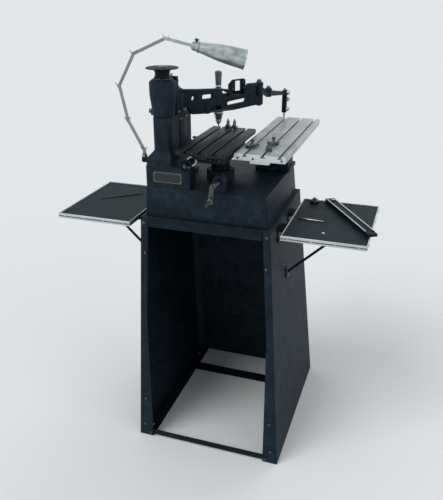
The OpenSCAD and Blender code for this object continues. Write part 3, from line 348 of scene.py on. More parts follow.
def mix_finishes():
    """Makes every finish that the machine needs."""
    tone = colours()
    fine, coarse = 900.0, 60.0
    milled = (fine, 6.0, fine)
    drawn = (coarse, coarse, fine)
    brushed = (30.0, fine, fine)
    blasted = (coarse, coarse, coarse)
    blued = (200.0, 200.0, 200.0)
    plated = (coarse, coarse, 300.0)
    FINISH.update(
        machine=enamel("machine_enamel", tone.machine, 210.0),
        stand=enamel("stand_enamel", tone.stand, 330.0, 0.56),
        dark=enamel("dark_enamel", tone.dark, 260.0, 0.46),
        table=machined("table_black", TABLE_BLACK, milled, 0.46),
        alloy=machined("milled_alloy", tone.alloy, milled, 0.44, worn=0.66),
        edging=machined("edging_alloy", tint(tone.alloy, 1.2), drawn, 0.40),
        gunmetal=machined("blued_steel", tint(tone.steel, 0.22), blued, 0.30),
        steel=machined("turned_steel", tone.steel, drawn, 0.24),
        lamp=machined("lamp_plating", tint(tone.steel, 0.62), plated, 0.34),
        board=board_cover("board_cover", tone.board),
        shade=streaked("shade_metal", tone.shade, 0.38),
        bulb=plain("opal_glass", OPAL, 0.2),
        black=plain("black_grip", GRIP_BLACK, 0.28),
        mark=plain("scale_fill", DARK_FILL, 0.5),
        pale=plain("pale_fill", PALE_FILL, 0.5),
        worn=plain("worn_line", WORN_LINE, 0.5),
        plate=machined("badge_metal", tint(tone.alloy, 0.10), brushed, 0.42),
        # bright alloy of small parts, and also the painted highlight on the copy table's front face
        rim=machined("bright_alloy_and_painted_highlight", tint(tone.alloy, 1.35), blasted, 0.42),
    )


# ---------------------------------------------------------------- hand tools
def calm():
    if bpy.context.mode != "OBJECT":
        bpy.ops.object.mode_set(mode="OBJECT")
    bpy.ops.object.select_all(action="DESELECT")


def pick(*pieces):
    calm()
    for piece in pieces:
        piece.select_set(True)
    bpy.context.view_layer.objects.active = pieces[0]


def settle(piece, name, body, finish):
    """Applies a piece's place and modifiers, smooths it and lets it ride on its body."""
    pick(piece)
    bpy.ops.object.transform_apply(location=True, rotation=True, scale=True)
    for modifier in list(piece.modifiers):
        bpy.ops.object.modifier_apply(modifier=modifier.name)
    bpy.ops.object.shade_smooth_by_angle(angle=math.radians(32.0))
    piece.name = name
    piece.data.name = name
    piece.data.materials.clear()
    piece.data.materials.append(FINISH[finish])
    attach(piece, body)
    return piece


def bevelled(piece, width, segments=2):
    modifier = piece.modifiers.new("edges", "BEVEL")
    modifier.width = width
    modifier.segments = segments
    modifier.limit_method = "ANGLE"
    modifier.angle_limit = math.radians(30.0)
    modifier.use_clamp_overlap = False
    return piece


def joined(pieces):
    pick(*pieces)
    if len(pieces) > 1:
        bpy.ops.object.join()
    return bpy.context.view_layer.objects.active


def moved_copy(piece, matrix):
    """A copy with its own mesh, set in place by a matrix."""
    copy = piece.copy()
    copy.data = piece.data.copy()
    copy.data.transform(matrix)
    bpy.context.scene.collection.objects.link(copy)
    return copy


def facing(direction, at):
    """Turns +Z to a direction and moves the origin to a point."""
    turn = UP.rotation_difference(Vector(direction).normalized()).to_matrix().to_4x4()
    return Matrix.Translation(Vector(at)) @ turn


def repeated(pattern, places):
    """Sets copies of a pattern piece at each place, and joins them."""
    copies = [moved_copy(pattern, place) for place in places]
    bpy.data.objects.remove(pattern)
    return joined(copies)


def corners(node):
    """The lowest and highest corners of a node at rest."""
    low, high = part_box(node)
    return Vector(low), Vector(high)


def turned(profile, steps=40):
    """A turned form about +Z, drawn up from a disc ring by ring: radius, then height."""
    calm()
    radius, height = profile[0]
    bpy.ops.mesh.primitive_circle_add(vertices=steps, radius=radius, fill_type="NGON",
                                      location=(0.0, 0.0, height))
    piece = bpy.context.view_layer.objects.active
    bpy.ops.object.transform_apply(location=True, rotation=False, scale=False)
    bpy.ops.object.mode_set(mode="EDIT")
    bpy.ops.mesh.select_all(action="SELECT")
    for new_radius, new_height in profile[1:]:
        bpy.ops.mesh.extrude_region_move(
            TRANSFORM_OT_translate={"value": (0.0, 0.0, new_height - height)})
        ratio = new_radius / radius
        bpy.ops.transform.resize(value=(ratio, ratio, 1.0),
                                 center_override=(0.0, 0.0, new_height))
        radius, height = new_radius, new_height
    bpy.ops.mesh.select_all(action="SELECT")
    bpy.ops.mesh.normals_make_consistent(inside=False)
    bpy.ops.object.mode_set(mode="OBJECT")
    return piece


def block(low, high):
    """A cube between two corners."""
    calm()
    low, high = Vector(low), Vector(high)
    bpy.ops.mesh.primitive_cube_add(size=1.0, location=(low + high) / 2.0, scale=high - low)
    bpy.ops.object.transform_apply(location=True, rotation=True, scale=True)
    return bpy.context.view_layer.objects.active


def screw_pattern(diameter):
    """A slotted pan head about +Z, sitting on its place."""
    radius = diameter / 2.0
    height = 0.45 * diameter
    head = turned([(radius * 0.98, 0.0), (radius, height * 0.35), (radius * 0.92, height * 0.75),
                   (radius * 0.66, height)], 20)
    slot = block((-radius * 1.2, -radius * 0.13, height * 0.55),
                 (radius * 1.2, radius * 0.13, height * 1.5))
    cut = head.modifiers.new("slot", "BOOLEAN")
    cut.operation = "DIFFERENCE"
    cut.object = slot
    cut.solver = "EXACT"
    pick(head)
    bpy.ops.object.modifier_apply(modifier=cut.name)
    bpy.data.objects.remove(slot)
    return head


def rounded_node(node, finish, width, segments):
    """The node's own shape with its edges rounded, shown in the node's place."""
    source = frame["nodes"][node]
    piece = source.copy()
    piece.data = source.data.copy()
    piece.parent = None
    piece.matrix_world = Matrix.Identity(4)
    bpy.context.scene.collection.objects.link(piece)
    pick(piece)
    bpy.ops.object.mode_set(mode="EDIT")
    bpy.ops.mesh.select_all(action="SELECT")
    bpy.ops.mesh.remove_doubles(threshold=0.00001)
    bpy.ops.mesh.dissolve_limited(angle_limit=math.radians(0.4))
    bpy.ops.object.mode_set(mode="OBJECT")
    bevelled(piece, width, segments)
    settle(piece, node + "_piece", BODY_OF[node], finish)
    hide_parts(node)
    return piece


def dress(finish, *nodes):
    """Gives nodes a better finish and keeps their shape."""
    for node in nodes:
        mesh = frame["nodes"][node].data
        for index in range(len(mesh.materials)):
            mesh.materials[index] = FINISH[finish]


def banded(piece, finish, low, high):
    """Gives the faces between two heights another finish."""
    piece.data.materials.append(FINISH[finish])
    for face in piece.data.polygons:
        if low <= face.center.z <= high:
            face.material_index = len(piece.data.materials) - 1


def paint_lit_faces(piece, finish, direction):
    """Gives the faces that look along a direction another finish, as a painted highlight on the side the light
    falls on.
    """
    piece.data.materials.append(FINISH[finish])
    for face in piece.data.polygons:
        if face.normal.dot(direction) > 0.9:
            face.material_index = len(piece.data.materials) - 1


def raised_frame(width, height, corner, band, rise):
    """A rounded border about +Z, lying at the origin."""
    calm()
    bpy.ops.mesh.primitive_plane_add(size=1.0, location=(0.0, 0.0, 0.0))
    piece = bpy.context.view_layer.objects.active
    piece.scale = (width, height, 1.0)
    bpy.ops.object.transform_apply(location=False, rotation=False, scale=True)
    bpy.ops.object.mode_set(mode="EDIT")
    bpy.ops.mesh.select_all(action="SELECT")
    bpy.ops.mesh.bevel(offset=corner, segments=6, affect="VERTICES")
    bpy.ops.mesh.select_all(action="SELECT")
    bpy.ops.mesh.inset(thickness=band)
    bpy.ops.mesh.delete(type="FACE")
    bpy.ops.mesh.select_all(action="SELECT")
    bpy.ops.mesh.extrude_region_move(TRANSFORM_OT_translate={"value": (0.0, 0.0, rise)})
    bpy.ops.mesh.select_all(action="SELECT")
    bpy.ops.mesh.normals_make_consistent(inside=False)
    bpy.ops.object.mode_set(mode="OBJECT")
    return piece


def spun(pattern, at, direction, count):
    """Copies of a pattern piece round an axis."""
    base = facing(direction, at)
    return repeated(pattern, [base @ Matrix.Rotation(math.tau * n / count, 4, "Z")
                              for n in range(count)])


def open_ends(piece):
    """Takes out the flat faces that close a turned form's two ends."""
    pick(piece)
    bpy.ops.object.mode_set(mode="EDIT")
    bpy.ops.mesh.select_all(action="DESELECT")
    bpy.ops.object.mode_set(mode="OBJECT")
    for face in piece.data.polygons:
        face.select = len(face.vertices) > 4
    bpy.ops.object.mode_set(mode="EDIT")
    bpy.ops.mesh.delete(type="FACE")
    bpy.ops.object.mode_set(mode="OBJECT")


def drum_marks(at, direction, radius, count, length):
    """Filled lines round a graduated drum; every fifth one is longer."""
    half, near, proud = 0.00025, radius - 0.0004, radius + 0.00006
    short = block((near, -half, 0.0), (proud, half, length * 0.6))
    tall = block((near, -half, 0.0), (proud, half, length))
    return joined([spun(short, at, direction, count), spun(tall, at, direction, count // 5)])


def nut(across, height):
    """A chamfered hexagon nut about +Z."""
    radius = across / 2.0
    return turned([(radius * 0.92, 0.0), (radius, height * 0.1), (radius, height * 0.9),
                   (radius * 0.9, height)], 6)


def fitting(piece, at, direction, name, node, finish):
    """Sets a pattern piece on a node, about a direction, and lets it ride there."""
    piece.data.transform(facing(direction, at))
    return settle(piece, name, BODY_OF[node], finish)


def screws(diameter, spots, name, node, finish="steel"):
    """Slotted screws at spots, each a point and the way it faces, with their slots all ways."""
    first_turn, next_turn = 0.7, 1.9
    places = [facing(way, at) @ Matrix.Rotation(first_turn + next_turn * number, 4, "Z")
              for number, (at, way) in enumerate(spots)]
    return settle(repeated(screw_pattern(diameter), places), name, BODY_OF[node], finish)


def ruled(short, tall, places, every):
    """A scale's lines at places, with a longer one at every so many."""
    return joined([repeated(short, places), repeated(tall, places[::every])])


def round_all(nodes, finish, width, segments=2):
    return [rounded_node(node, finish, width, segments) for node in nodes]


# ---------------------------------------------------------------- pieces
class ENGRAVER_OT_finishes(bpy.types.Operator):
    """Mix the machine's finishes"""

    bl_idname = "engraver.finishes"
    bl_label = "Finishes"

    def execute(self, context):
        mix_finishes()
        return {"FINISHED"}


class ENGRAVER_OT_stand(bpy.types.Operator):
    """Finish the stand's sheets, bars and screws"""

    bl_idname = "engraver.stand"
    bl_label = "Stand"

    def execute(self, context):
        edge = sizes().sheet_round
        sheets = ("stand_side_left", "stand_side_right", "stand_back", "stand_top")
        round_all(sheets, "stand", edge, 1)
        round_all(("front_floor_bar", "rear_floor_bar"), "dark", edge)
        dress("gunmetal", "stand_bolts")
        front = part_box("stand_side_right")[0][1]
        spots = []
        for side, strut in ((-1.0, -0.165), (1.0, -0.125)):
            spots += [((side * x, front, z), FRONT) for x, z in FLANGE_SCREWS]
            outward = Vector((side * math.cos(LEAN), 0.0, math.sin(LEAN)))
            rows = [(BRACKET_SCREW, y + step) for y in (-0.215, 0.010) for step in (-0.022, 0.022)]
            rows += [(STRUT_SCREW, strut + step) for step in (-0.006, 0.006)]
            spots += [((side * x, y, z), outward) for (x, z), y in rows]
        screws(sizes().screw_head, spots, "stand_screws", "stand_top", "gunmetal")
        return {"FINISHED"}


class ENGRAVER_OT_shelves(bpy.types.Operator):
    """Finish the two side shelves and what lies on them"""

    bl_idname = "engraver.shelves"
    bl_label = "Shelves"

    def execute(self, context):
        edge = sizes().fine_round
        dress("board", "shelf_left", "shelf_right")
        round_all(("shelf_edging",), "edging", edge)
        round_all(("shelf_brackets", "shelf_struts"), "dark", edge)
        spots = []
        for side, node in ((-1.0, "shelf_left"), (1.0, "shelf_right")):
            low, high = corners(node)
            level = (low.z + high.z) / 2.0 + EDGING_RISE
            outer = (high.x + RIM) if side > 0 else (low.x - RIM)
            for part in (0.08, 0.36, 0.64, 0.92):
                x = low.x + (high.x - low.x) * part
                y = low.y + (high.y - low.y) * part
                spots += [((x, low.y - RIM, level), FRONT), ((x, high.y + RIM, level), -FRONT),
                          ((outer, y, level), Vector((side, 0.0, 0.0)))]
        screws(0.0062, spots, "edging_screws", "shelf_edging")
        # thin dark strips along the middle of the edging's outer faces stand for its grooves: their dark finish is
        # painted shade
        groove_shade_strips = []
        half, proud, reach = 0.0017, 0.00015, RIM - 0.001
        for node in ("shelf_left", "shelf_right"):
            low, high = corners(node)
            level = (low.z + high.z) / 2.0 + EDGING_RISE
            for x in (low.x - RIM, high.x + RIM):
                groove_shade_strips.append(block((x - proud, low.y - reach, level - half),
                                     (x + proud, high.y + reach, level + half)))
            for y in (low.y - RIM, high.y + RIM):
                groove_shade_strips.append(block((low.x - reach, y - proud, level - half),
                                     (high.x + reach, y + proud, level + half)))
        groove_shade_strips = bevelled(joined(groove_shade_strips), 0.00008, 1)
        settle(groove_shade_strips, "edging_groove_shade", "stand", "gunmetal")

        # the letter slide's bright rails
        round_all(("letter_slide",), "dark", edge)
        along = (SLIDE_END - SLIDE_START).normalized()
        turn = Matrix.Translation(SLIDE_START) @ Matrix.Rotation(
            math.atan2(along.y, along.x), 4, "Z")
        half, sunk, proud = 0.0024, 0.0003, 0.0004
        rails = []
        for side in (-0.0135, 0.0135):
            rail = block((0.013, side - half, -sunk), (0.317, side + half, proud))
            rail.data.transform(turn)
            rails.append(rail)
        settle(bevelled(joined(rails), 0.0002, 1), "slide_rails", "stand", "edging")
        stop = turned([(0.0052, 0.0), (0.0058, 0.001), (0.0058, 0.006), (0.0050, 0.007)], 24)
        fitting(stop, turn @ Vector((0.030, 0.0, -0.0021)), UP, "slide_stop", "letter_slide",
                "steel")

        # spare holder, rod, scriber and pin that lie on the shelves
        board = corners("shelf_right")[1].z
        holder = turned([(0.0135, 0.0), (0.0150, 0.0015), (0.0150, 0.0100), (0.0120, 0.0120),
                         (0.0075, 0.0125), (0.0070, 0.0170), (0.0045, 0.0180)], 40)
        fitting(holder, (*HOLDER_PLACE, board), UP, "spare_holder", "shelf_right",
                "gunmetal")
        centre = turned([(0.0045, 0.0), (0.0045, 0.0030), (0.0030, 0.0040)], 24)
        fitting(centre, (*HOLDER_PLACE, board + 0.0178), UP, "spare_holder_centre", "shelf_right",
                "rim")
        rod = turned([(0.0016, 0.0), (0.0022, 0.0010), (0.0022, 0.0850), (0.0016, 0.0862)], 16)
        fitting(rod, (0.2620, -0.136, board + 0.0022), (0.086, -0.0075, 0.0), "spare_rod",
                "shelf_right", "steel")
        lying = board + 0.0020
        start, end = Vector((*SCRIBER_START, lying)), Vector((*SCRIBER_END, lying))
        length = (end - start).length
        scriber = turned([(0.0005, 0.0), (0.0018, 0.0140), (0.0019, 0.0160),
                          (0.0019, length - 0.0160), (0.0014, length - 0.0120),
                          (0.0014, length)], 16)
        fitting(scriber, start, end - start, "scriber", "shelf_left", "gunmetal")
        pin = turned([(0.0040, 0.0), (0.0046, 0.0010), (0.0046, 0.0050), (0.0030, 0.0062)], 20)
        fitting(pin, (0.3640, -0.247, board), UP, "spare_pin", "shelf_right", "rim")
        return {"FINISHED"}


class ENGRAVER_OT_castings(bpy.types.Operator):
    """Finish the base, the column and the copy side's pedestal"""

    bl_idname = "engraver.castings"
    bl_label = "Castings"

    def execute(self, context):
        edge = sizes().cast_round
        round_all(("machine_base", "column"), "machine", edge, 3)
        round_all(("copy_pedestal", "crank_bearing"), "machine", edge / 2.0, 3)
        round_all(("lamp_bracket",), "dark", edge / 3.0)
        round_all(("badge_plate",), "plate", sizes().fine_round)
        dress("gunmetal", "base_bolts")

        # border and rivets of the bare badge
        low, high = corners("badge_plate")
        face = Vector(((low.x + high.x) / 2.0, low.y, (low.z + high.z) / 2.0))
        wide, tall = high.x - low.x, high.z - low.z
        margin, rivet_margin = 0.007, 0.0075
        border = raised_frame(wide - margin, tall - margin, 0.0045, 0.0010, 0.0004)
        border.data.transform(
            Matrix.Translation(face) @ Matrix.Rotation(math.radians(90.0), 4, "X"))
        settle(border, "badge_border", "stand", "worn")
        across, up = wide / 2.0 - rivet_margin, tall / 2.0 - rivet_margin
        places = [facing(FRONT, face + Vector((sx * across, 0.0, sz * up)))
                  for sx in (-1.0, 1.0) for sz in (-1.0, 1.0)]
        dome = turned([(0.0017, 0.0), (0.0016, 0.0004), (0.0012, 0.0008), (0.0005, 0.0011)], 16)
        settle(repeated(dome, places), "badge_rivets", "stand", "worn")

        # cap screws at the top of the pedestal
        low, high = corners("copy_pedestal")
        level = high.z - 0.011
        spots = [((high.x, y, level), RIGHT)
                 for y in (low.y + 0.02, (low.y + high.y) / 2.0, high.y - 0.02)]
        spots += [((x, low.y, level), FRONT) for x in (low.x + 0.012, high.x - 0.012)]
        screws(0.0075, spots, "pedestal_screws", "copy_pedestal", "gunmetal")

        # screwed cover on the column's right side
        thick = 0.0022
        cover = bevelled(block((-0.030, -0.052, 0.0), (0.030, 0.052, thick)), 0.0008)
        wall = Vector((COLUMN_RIGHT, -0.178, 1.152))
        cover.data.transform(facing(RIGHT, wall) @ Matrix.Rotation(math.radians(90.0), 4, "Z"))
        settle(cover, "column_cover", "stand", "machine")
        spots = [(wall + Vector((thick, dy, dz)), RIGHT)
                 for dy in (-0.024, 0.024) for dz in (-0.046, 0.046)]
        screws(0.0055, spots, "column_cover_screws", "column", "steel")
        return {"FINISHED"}


class ENGRAVER_OT_work_side(bpy.types.Operator):
    """Finish the knee, saddle, work table and their wheels"""

    bl_idname = "engraver.work_side"
    bl_label = "Work side"

    def execute(self, context):
        edge = sizes().fine_round
        round_all(("knee", "saddle"), "machine", edge * 2.0)
        round_all(("work_table",), "table", edge)
        round_all(("work_clamps",), "gunmetal", edge / 2.0, 1)
        dress("dark", "table_handwheel", "cross_handwheel")
        dress("black", "crank_grip")
        round_all(("knee_crank",), "gunmetal", edge * 1.5)

        # graduated drums behind the two handwheels, and black sleeves on their grips
        drum = [(0.0118, 0.0), (0.0150, 0.0004), (0.0156, 0.0012), (0.0156, 0.0100),
                (0.0150, 0.0108), (0.0118, 0.0112)]
        drum_radius = drum[2][0]
        for node, joint, way, sideways, reach, grip in (
            ("table_handwheel", "table_wheel_turn", -FRONT, RIGHT, 0.050, sizes().table_grip),
            ("cross_handwheel", "cross_wheel_turn", RIGHT, UP, 0.026, sizes().cross_grip),
        ):
            hub = PIVOT[joint]
            fitting(turned(drum, 48), hub + way * reach, way, node + "_drum", node,
                    "edging")
            marks = drum_marks(hub + way * (reach + 0.0014), way, drum_radius, 50, 0.0050)
            settle(marks, node + "_marks", BODY_OF[node], "mark")
            fitting(nut(0.013, 0.006), hub - way * 0.0105, way, node + "_nut", node,
                    "gunmetal")
            sleeve = turned([(0.0024, 0.0), (0.0036, 0.0012), (0.0042, 0.0060), (0.0044, 0.0120),
                             (0.0036, 0.0170), (0.0016, 0.0186)], 24)
            fitting(sleeve, hub + sideways * grip - way * 0.0022, -way, node + "_sleeve", node,
                    "black")
        fitting(nut(0.016, 0.005), PIVOT["knee_crank_turn"], FRONT, "crank_nut", "knee_crank",
                "gunmetal")
        collar = turned([(0.0085, 0.0), (0.0089, 0.0004), (0.0089, 0.0018), (0.0085, 0.0022)], 32)
        fitting(collar, PIVOT["crank_grip_spin"] + FRONT * 0.0004, FRONT, "grip_collar",
                "crank_grip", "steel")

        # gib screws, and end screws of the work table
        top = corners("saddle")[1].z
        spots = [((SADDLE_RIGHT, y, top - 0.011), RIGHT) for y in (-0.245, -0.185, -0.125, -0.065)]
        screws(0.0065, spots, "saddle_gib_screws", "saddle", "gunmetal")
        low, high = corners("knee")
        spots = [((x, low.y, high.z - 0.012), FRONT) for x in (-0.030, 0.0, 0.030)]
        screws(0.0065, spots, "knee_gib_screws", "knee", "gunmetal")
        low, high = corners("work_table")
        spots = [((x, low.y, high.z - 0.0055), FRONT)
                 for x in (low.x + 0.010, high.x - 0.010, -0.022, 0.022)]
        screws(0.0050, spots, "work_table_screws", "work_table", "gunmetal")
        return {"FINISHED"}


class ENGRAVER_OT_head(bpy.types.Operator):
    """Finish the head on the post"""

    bl_idname = "engraver.head"
    bl_label = "Head"

    def execute(self, context):
        round_all(("head",), "machine", sizes().fine_round * 2.0)
        dress("dark", "head_handwheel")
        dress("gunmetal", "fulcrum_pin", "lift_screw", "head_clamp_lever")
        low, high = corners("head_handwheel")
        centre = Vector(((low.x + high.x) / 2.0, (low.y + high.y) / 2.0, high.z))
        radius = (high.x - low.x) / 2.0
        half = 0.0008
        ridge = block((radius - 0.0008, -half, -0.0031), (radius + 0.0004, half, -0.0003))
        settle(spun(ridge, centre, UP, 90), "handwheel_knurl", "lift_wheel", "dark")
        cap = turned([(0.0160, 0.0), (0.0165, 0.0010), (0.0150, 0.0030), (0.0070, 0.0042)], 40)
        fitting(cap, centre - UP * SINK, UP, "handwheel_cap", "head_handwheel",
                "gunmetal")
        hub_radius = 0.02925
        marks = drum_marks(Vector((centre.x, centre.y, low.z + 0.0004)), UP, hub_radius, 40, 0.0032)
        settle(marks, "handwheel_marks", "lift_wheel", "pale")
        swing, top = PIVOT["arm_swing"], corners("fulcrum_pin")[1].z
        fitting(nut(0.017, 0.0045), (swing.x, swing.y, top - SINK), UP, "fulcrum_nut",
                "fulcrum_pin", "gunmetal")
        spots = [((HEAD_RIGHT, -0.216, z), RIGHT) for z in (1.300, 1.318)]
        screws(0.0062, spots, "yoke_screws", "head", "gunmetal")
        screws(0.0080, [((HEAD_RIGHT, -0.2105, 1.222), RIGHT)], "ear_screw", "head")
        cup = turned([(0.0034, 0.0), (0.0034, 0.0030), (0.0046, 0.0036), (0.0046, 0.0066),
                      (0.0026, 0.0084)], 24)
        fitting(cup, (-0.136, -0.216, 1.3299), UP, "oil_cup", "head", "steel")
        return {"FINISHED"}


class ENGRAVER_OT_pantograph(bpy.types.Operator):
    """Finish the pantograph's arms, links and pivots"""

    bl_idname = "engraver.pantograph"
    bl_label = "Pantograph"

    def execute(self, context):
        edge = sizes().fine_round
        round_all(("main_arm",), "machine", edge * 1.6, 3)
        round_all(("stylus_arm", "rear_link", "spindle_link"), "machine", edge)
        round_all(("ratio_block", "stylus_block"), "dark", edge * 1.5)
        dress("gunmetal", "arm_pins", "rear_pivot_cap")
        dress("steel", "stylus", "stylus_knobs")
        elbow, rear = PIVOT["elbow_fold"], PIVOT["rear_link_pivot"]
        top = corners("arm_pins")[1].z
        fitting(nut(0.015, 0.0055), (elbow.x, elbow.y, top - SINK), UP, "elbow_nut", "arm_pins",
                "gunmetal")
        top = corners("rear_pivot_cap")[1].z
        fitting(nut(0.012, 0.0045), (rear.x, rear.y, top - SINK), UP, "rear_nut",
                "rear_pivot_cap", "steel")

        # the ratio scale along the arm's near side, and on the rear link's top
        swing, spindle = PIVOT["arm_swing"], PIVOT["spindle_spin"]
        along = Vector((elbow.x - swing.x, elbow.y - swing.y, 0.0))
        turn = Matrix.Rotation(math.atan2(along.y, along.x), 4, "Z")
        side = Matrix.Translation(Vector((swing.x, swing.y, 0.0))) @ turn
        half, step, face = 0.0002, 0.004, -ARM_HALF
        short, tall = (
            block((-half, face - 0.00006, ARM_SCALE_FOOT),
                  (half, face + 0.0003, ARM_SCALE_FOOT + height)) for height in (0.0024, 0.0041))
        first = along.length * 0.34
        places = [side @ Matrix.Translation((first + step * n, 0.0, 0.0)) for n in range(27)]
        settle(ruled(short, tall, places, 5), "arm_scale", "arm_body", "pale")
        link = Matrix.Translation(Vector((spindle.x, spindle.y, 0.0))) @ turn
        rib = corners("rear_link")[1].z
        mark = block((-half, -0.0045, rib - 0.0003), (half, 0.0045, rib + 0.00006))
        marks = repeated(mark, [link @ Matrix.Translation((0.114 + step * n, 0.0, 0.0))
                                for n in range(13)])
        settle(marks, "link_scale", "rear_link_body", "pale")
        foot = corners("ratio_block")[0].z
        spots = [(link @ Vector((x, -0.005, foot + z)), link.to_3x3() @ FRONT)
                 for x, z in ((0.054, 0.012), (0.099, 0.012), (0.099, 0.032))]
        screws(0.0085, spots, "ratio_block_screws", "ratio_block", "gunmetal")

        # knurls of the stylus block's knobs
        low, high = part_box("stylus")
        tip_x, tip_y = (low[0] + high[0]) / 2.0, (low[1] + high[1]) / 2.0
        turn = math.atan2(tip_y - elbow.y, tip_x - elbow.x)
        outward = Vector((math.sin(turn), -math.cos(turn), 0.0))
        knurls = []
        for level in KNOB_LEVELS:
            ridge = block((0.0067, -0.0004, 0.0), (0.0073, 0.0004, 0.0052))
            place = Vector((tip_x, tip_y, level)) + outward * (BLOCK_HALF + 0.0046)
            knurls.append(spun(ridge, place, outward, 26))
        settle(joined(knurls), "stylus_knob_knurls", "stylus_body", "steel")
        return {"FINISHED"}


class ENGRAVER_OT_spindle(bpy.types.Operator):
    """Finish the spindle, its housing and its draw knob"""

    bl_idname = "engraver.spindle"
    bl_label = "Spindle"

    def execute(self, context):
        foot, top = (corner[2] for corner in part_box("spindle_housing"))
        (housing,) = round_all(("spindle_housing",), "dark", sizes().fine_round)
        banded(housing, "steel", foot - 0.001, foot + 0.0135)
        dress("steel", "quill", "spindle", "cutter", "spindle_pulley")
        dress("gunmetal", "draw_knob")
        low, high = corners("draw_knob")
        axis = PIVOT["spindle_spin"]
        for name, node, level, profile, steps in (
            ("knob_ferrule", "draw_knob", low.z + 0.0046,
             [(0.0092, 0.0), (0.0101, 0.0006), (0.0101, 0.0040), (0.0096, 0.0048)], 40),
            ("knob_button", "draw_knob", high.z - SINK,
             [(0.0052, 0.0), (0.0052, 0.0010), (0.0036, 0.0022)], 24),
            ("housing_ring", "spindle_housing", top - 0.0052,
             [(0.0137, 0.0), (0.0146, 0.0006), (0.0146, 0.0040), (0.0137, 0.0046)], 40),
            ("nose_ring", "spindle_housing", foot + 0.0215,
             [(0.0162, 0.0), (0.0168, 0.0006), (0.0168, 0.0044), (0.0162, 0.0050)], 40),
        ):
            fitting(turned(profile, steps), (axis.x, axis.y, level), UP, name, node,
                    "steel")
        return {"FINISHED"}


class ENGRAVER_OT_copy_side(bpy.types.Operator):
    """Finish the copy table, its clamps and its lock"""

    bl_idname = "engraver.copy_side"
    bl_label = "Copy side"

    def execute(self, context):
        edge = sizes().fine_round
        (table,) = round_all(("copy_table",), "alloy", edge)
        # the front face gets the bright finish: a painted highlight on the side the key light falls on
        paint_lit_faces(table, "rim", FRONT)
        round_all(("copy_clamps",), "gunmetal", edge / 2.0, 1)
        dress("gunmetal", "copy_lock_knob")
        low, high = corners("copy_table")
        margin, step, near = 0.01, 0.005, low.x + 0.0010
        count = int((high.y - low.y - 2.0 * margin) / step)
        short, tall = (
            block((near, -half, high.z - 0.0003), (low.x + end, half, high.z + 0.00005))
            for end, half in ((0.0036, 0.00018), (0.0062, 0.00020)))
        places = [Matrix.Translation((0.0, low.y + margin + step * n, 0.0))
                  for n in range(count + 1)]
        settle(ruled(short, tall, places, 10), "copy_table_scale", "copy_body", "mark")
        spots = [((x, low.y, high.z - 0.0125), FRONT)
                 for x in (low.x + 0.012, high.x - 0.012, low.x + 0.060)]
        screws(0.0070, spots, "copy_table_screws", "copy_table", "gunmetal")
        return {"FINISHED"}


class ENGRAVER_OT_lamp(bpy.types.Operator):
    """Finish the jointed lamp"""

    bl_idname = "engraver.lamp"
    bl_label = "Lamp"

    def execute(self, context):
        dress("lamp", "lamp_base", "lamp_arm_1", "lamp_arm_2", "lamp_arm_3", "lamp_arm_4")
        dress("shade", "lamp_socket", "lamp_shade")
        dress("bulb", "lamp_bulb")
        plan, fall = math.radians(LAMP_TURN), math.radians(LAMP_FALL)
        out = Vector((math.cos(fall) * math.cos(plan), math.cos(fall) * math.sin(plan),
                      math.sin(fall)))
        across = Vector((-math.sin(plan), math.cos(plan), 0.0))
        root = PIVOT["lamp_hinge_5"] - across * PIN_OFFSET
        mouth = sizes().shade_mouth
        bead = turned([(mouth - 0.0014, 0.0), (mouth + 0.0006, 0.0004), (mouth + 0.0014, 0.0020),
                       (mouth + 0.0006, 0.0036), (mouth - 0.0014, 0.0040)], 64)
        open_ends(bead)
        fitting(bead, root + out * (0.2500 - 0.0036), out, "shade_bead", "lamp_shade",
                "shade")
        neck = turned([(0.0160, 0.0), (0.0172, 0.0008), (0.0172, 0.0032), (0.0160, 0.0040)], 48)
        fitting(neck, root + out * 0.1010, out, "shade_collar", "lamp_shade",
                "lamp")
        switch = turned([(0.0040, 0.0), (0.0040, 0.0030), (0.0062, 0.0036), (0.0066, 0.0080),
                         (0.0050, 0.0096)], 24)
        upward = out.cross(across)
        upward = upward if upward.z > 0 else -upward
        fitting(switch, root + out * 0.0930 + upward * 0.0136, upward, "lamp_switch",
                "lamp_socket", "black")
        return {"FINISHED"}


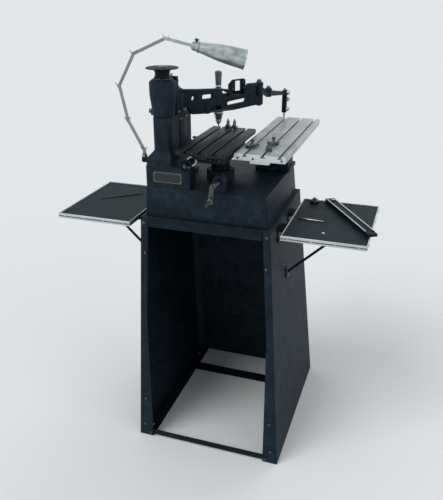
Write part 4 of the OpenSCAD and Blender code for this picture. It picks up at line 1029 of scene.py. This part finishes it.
class ENGRAVER_OT_stage(bpy.types.Operator):
    """Set the floor, the lights and the camera"""

    bl_idname = "engraver.stage"
    bl_label = "Stage"

    def execute(self, context):
        scene = context.scene
        scene.view_settings.view_transform = "Standard"
        calm()
        bpy.ops.mesh.primitive_plane_add(size=FLOOR_SIZE, location=(0.0, 0.0, 0.0))
        floor = context.view_layer.objects.active
        floor.name = "floor"
        ground = Finish("floor_tone", Base_Color=tuple(colours().floor), Roughness=0.9,
                        Specular_IOR_Level=0.0)
        floor.data.materials.append(ground.material)

        # the world lights the machine, and shows the plain backdrop behind it
        world = bpy.data.worlds.new("studio")
        scene.world = world
        world.use_nodes = True
        tree = world.node_tree
        lit = tree.nodes["Background"]
        lit.inputs["Color"].default_value = SKY_COLOUR
        lit.inputs["Strength"].default_value = SKY_STRENGTH
        red, green, blue = colours().floor
        seen = tree.nodes.new("ShaderNodeBackground")
        seen.inputs["Color"].default_value = (red, green, blue * BACKDROP_BLUE, 1.0)
        seen.inputs["Strength"].default_value = BACKDROP_STRENGTH
        path = tree.nodes.new("ShaderNodeLightPath")
        rays = (Value(tree, path.outputs["Is Camera Ray"])
                + Value(tree, path.outputs["Is Glossy Ray"])
                + Value(tree, path.outputs["Is Transmission Ray"]))
        choose = tree.nodes.new("ShaderNodeMixShader")
        tree.links.new(rays.socket, choose.inputs[0])
        tree.links.new(lit.outputs[0], choose.inputs[1])
        tree.links.new(seen.outputs[0], choose.inputs[2])
        tree.links.new(choose.outputs[0], tree.nodes["World Output"].inputs["Surface"])

        for name, place, strength, spread in LIGHTS:
            calm()
            bpy.ops.object.light_add(type="SUN", location=place)
            lamp = context.view_layer.objects.active
            lamp.name = name
            lamp.data.energy = strength
            lamp.data.angle = math.radians(spread)
            lamp.rotation_euler = (LIGHT_AIM - Vector(place)).to_track_quat("-Z", "Y").to_euler()

        calm()
        bpy.ops.object.camera_add(
            location=(*CAMERA_PLACE, sizes().camera_height),
            rotation=(math.radians(CAMERA_TILT), 0.0, math.radians(CAMERA_TURN)))
        camera = context.view_layer.objects.active
        camera.name = "camera"
        camera.data.lens = CAMERA_LENS
        camera.data.sensor_width = CAMERA_SENSOR
        scene.camera = camera
        return {"FINISHED"}


OPERATORS = (
    ENGRAVER_OT_finishes,
    ENGRAVER_OT_stand,
    ENGRAVER_OT_shelves,
    ENGRAVER_OT_castings,
    ENGRAVER_OT_work_side,
    ENGRAVER_OT_head,
    ENGRAVER_OT_pantograph,
    ENGRAVER_OT_spindle,
    ENGRAVER_OT_copy_side,
    ENGRAVER_OT_lamp,
    ENGRAVER_OT_stage,
)


class ENGRAVER_PT_panel(bpy.types.Panel):
    """Shows the machine's sizes and colours, and a button for each step"""

    bl_idname = "ENGRAVER_PT_panel"
    bl_label = "Pantograph engraver"
    bl_space_type = "VIEW_3D"
    bl_region_type = "UI"
    bl_category = "Engraver"

    def draw(self, context):
        for group in (context.scene.engraver_sizes, context.scene.engraver_colours):
            for name in group.bl_rna.properties.keys():
                if name not in ("rna_type", "name"):
                    self.layout.prop(group, name)
        for operator in OPERATORS:
            self.layout.operator(operator.bl_idname)


CLASSES = (EngraverSizes, EngraverColours, *OPERATORS, ENGRAVER_PT_panel)


def register():
    for kind in CLASSES:
        bpy.utils.register_class(kind)
    bpy.types.Scene.engraver_sizes = bpy.props.PointerProperty(type=EngraverSizes)
    bpy.types.Scene.engraver_colours = bpy.props.PointerProperty(type=EngraverColours)


def unregister():
    del bpy.types.Scene.engraver_colours
    del bpy.types.Scene.engraver_sizes
    for kind in reversed(CLASSES):
        bpy.utils.unregister_class(kind)


def main():
    register()
    for operator in OPERATORS:
        group, name = operator.bl_idname.split(".")
        getattr(getattr(bpy.ops, group), name)()


if __name__ == "__main__":
    main()
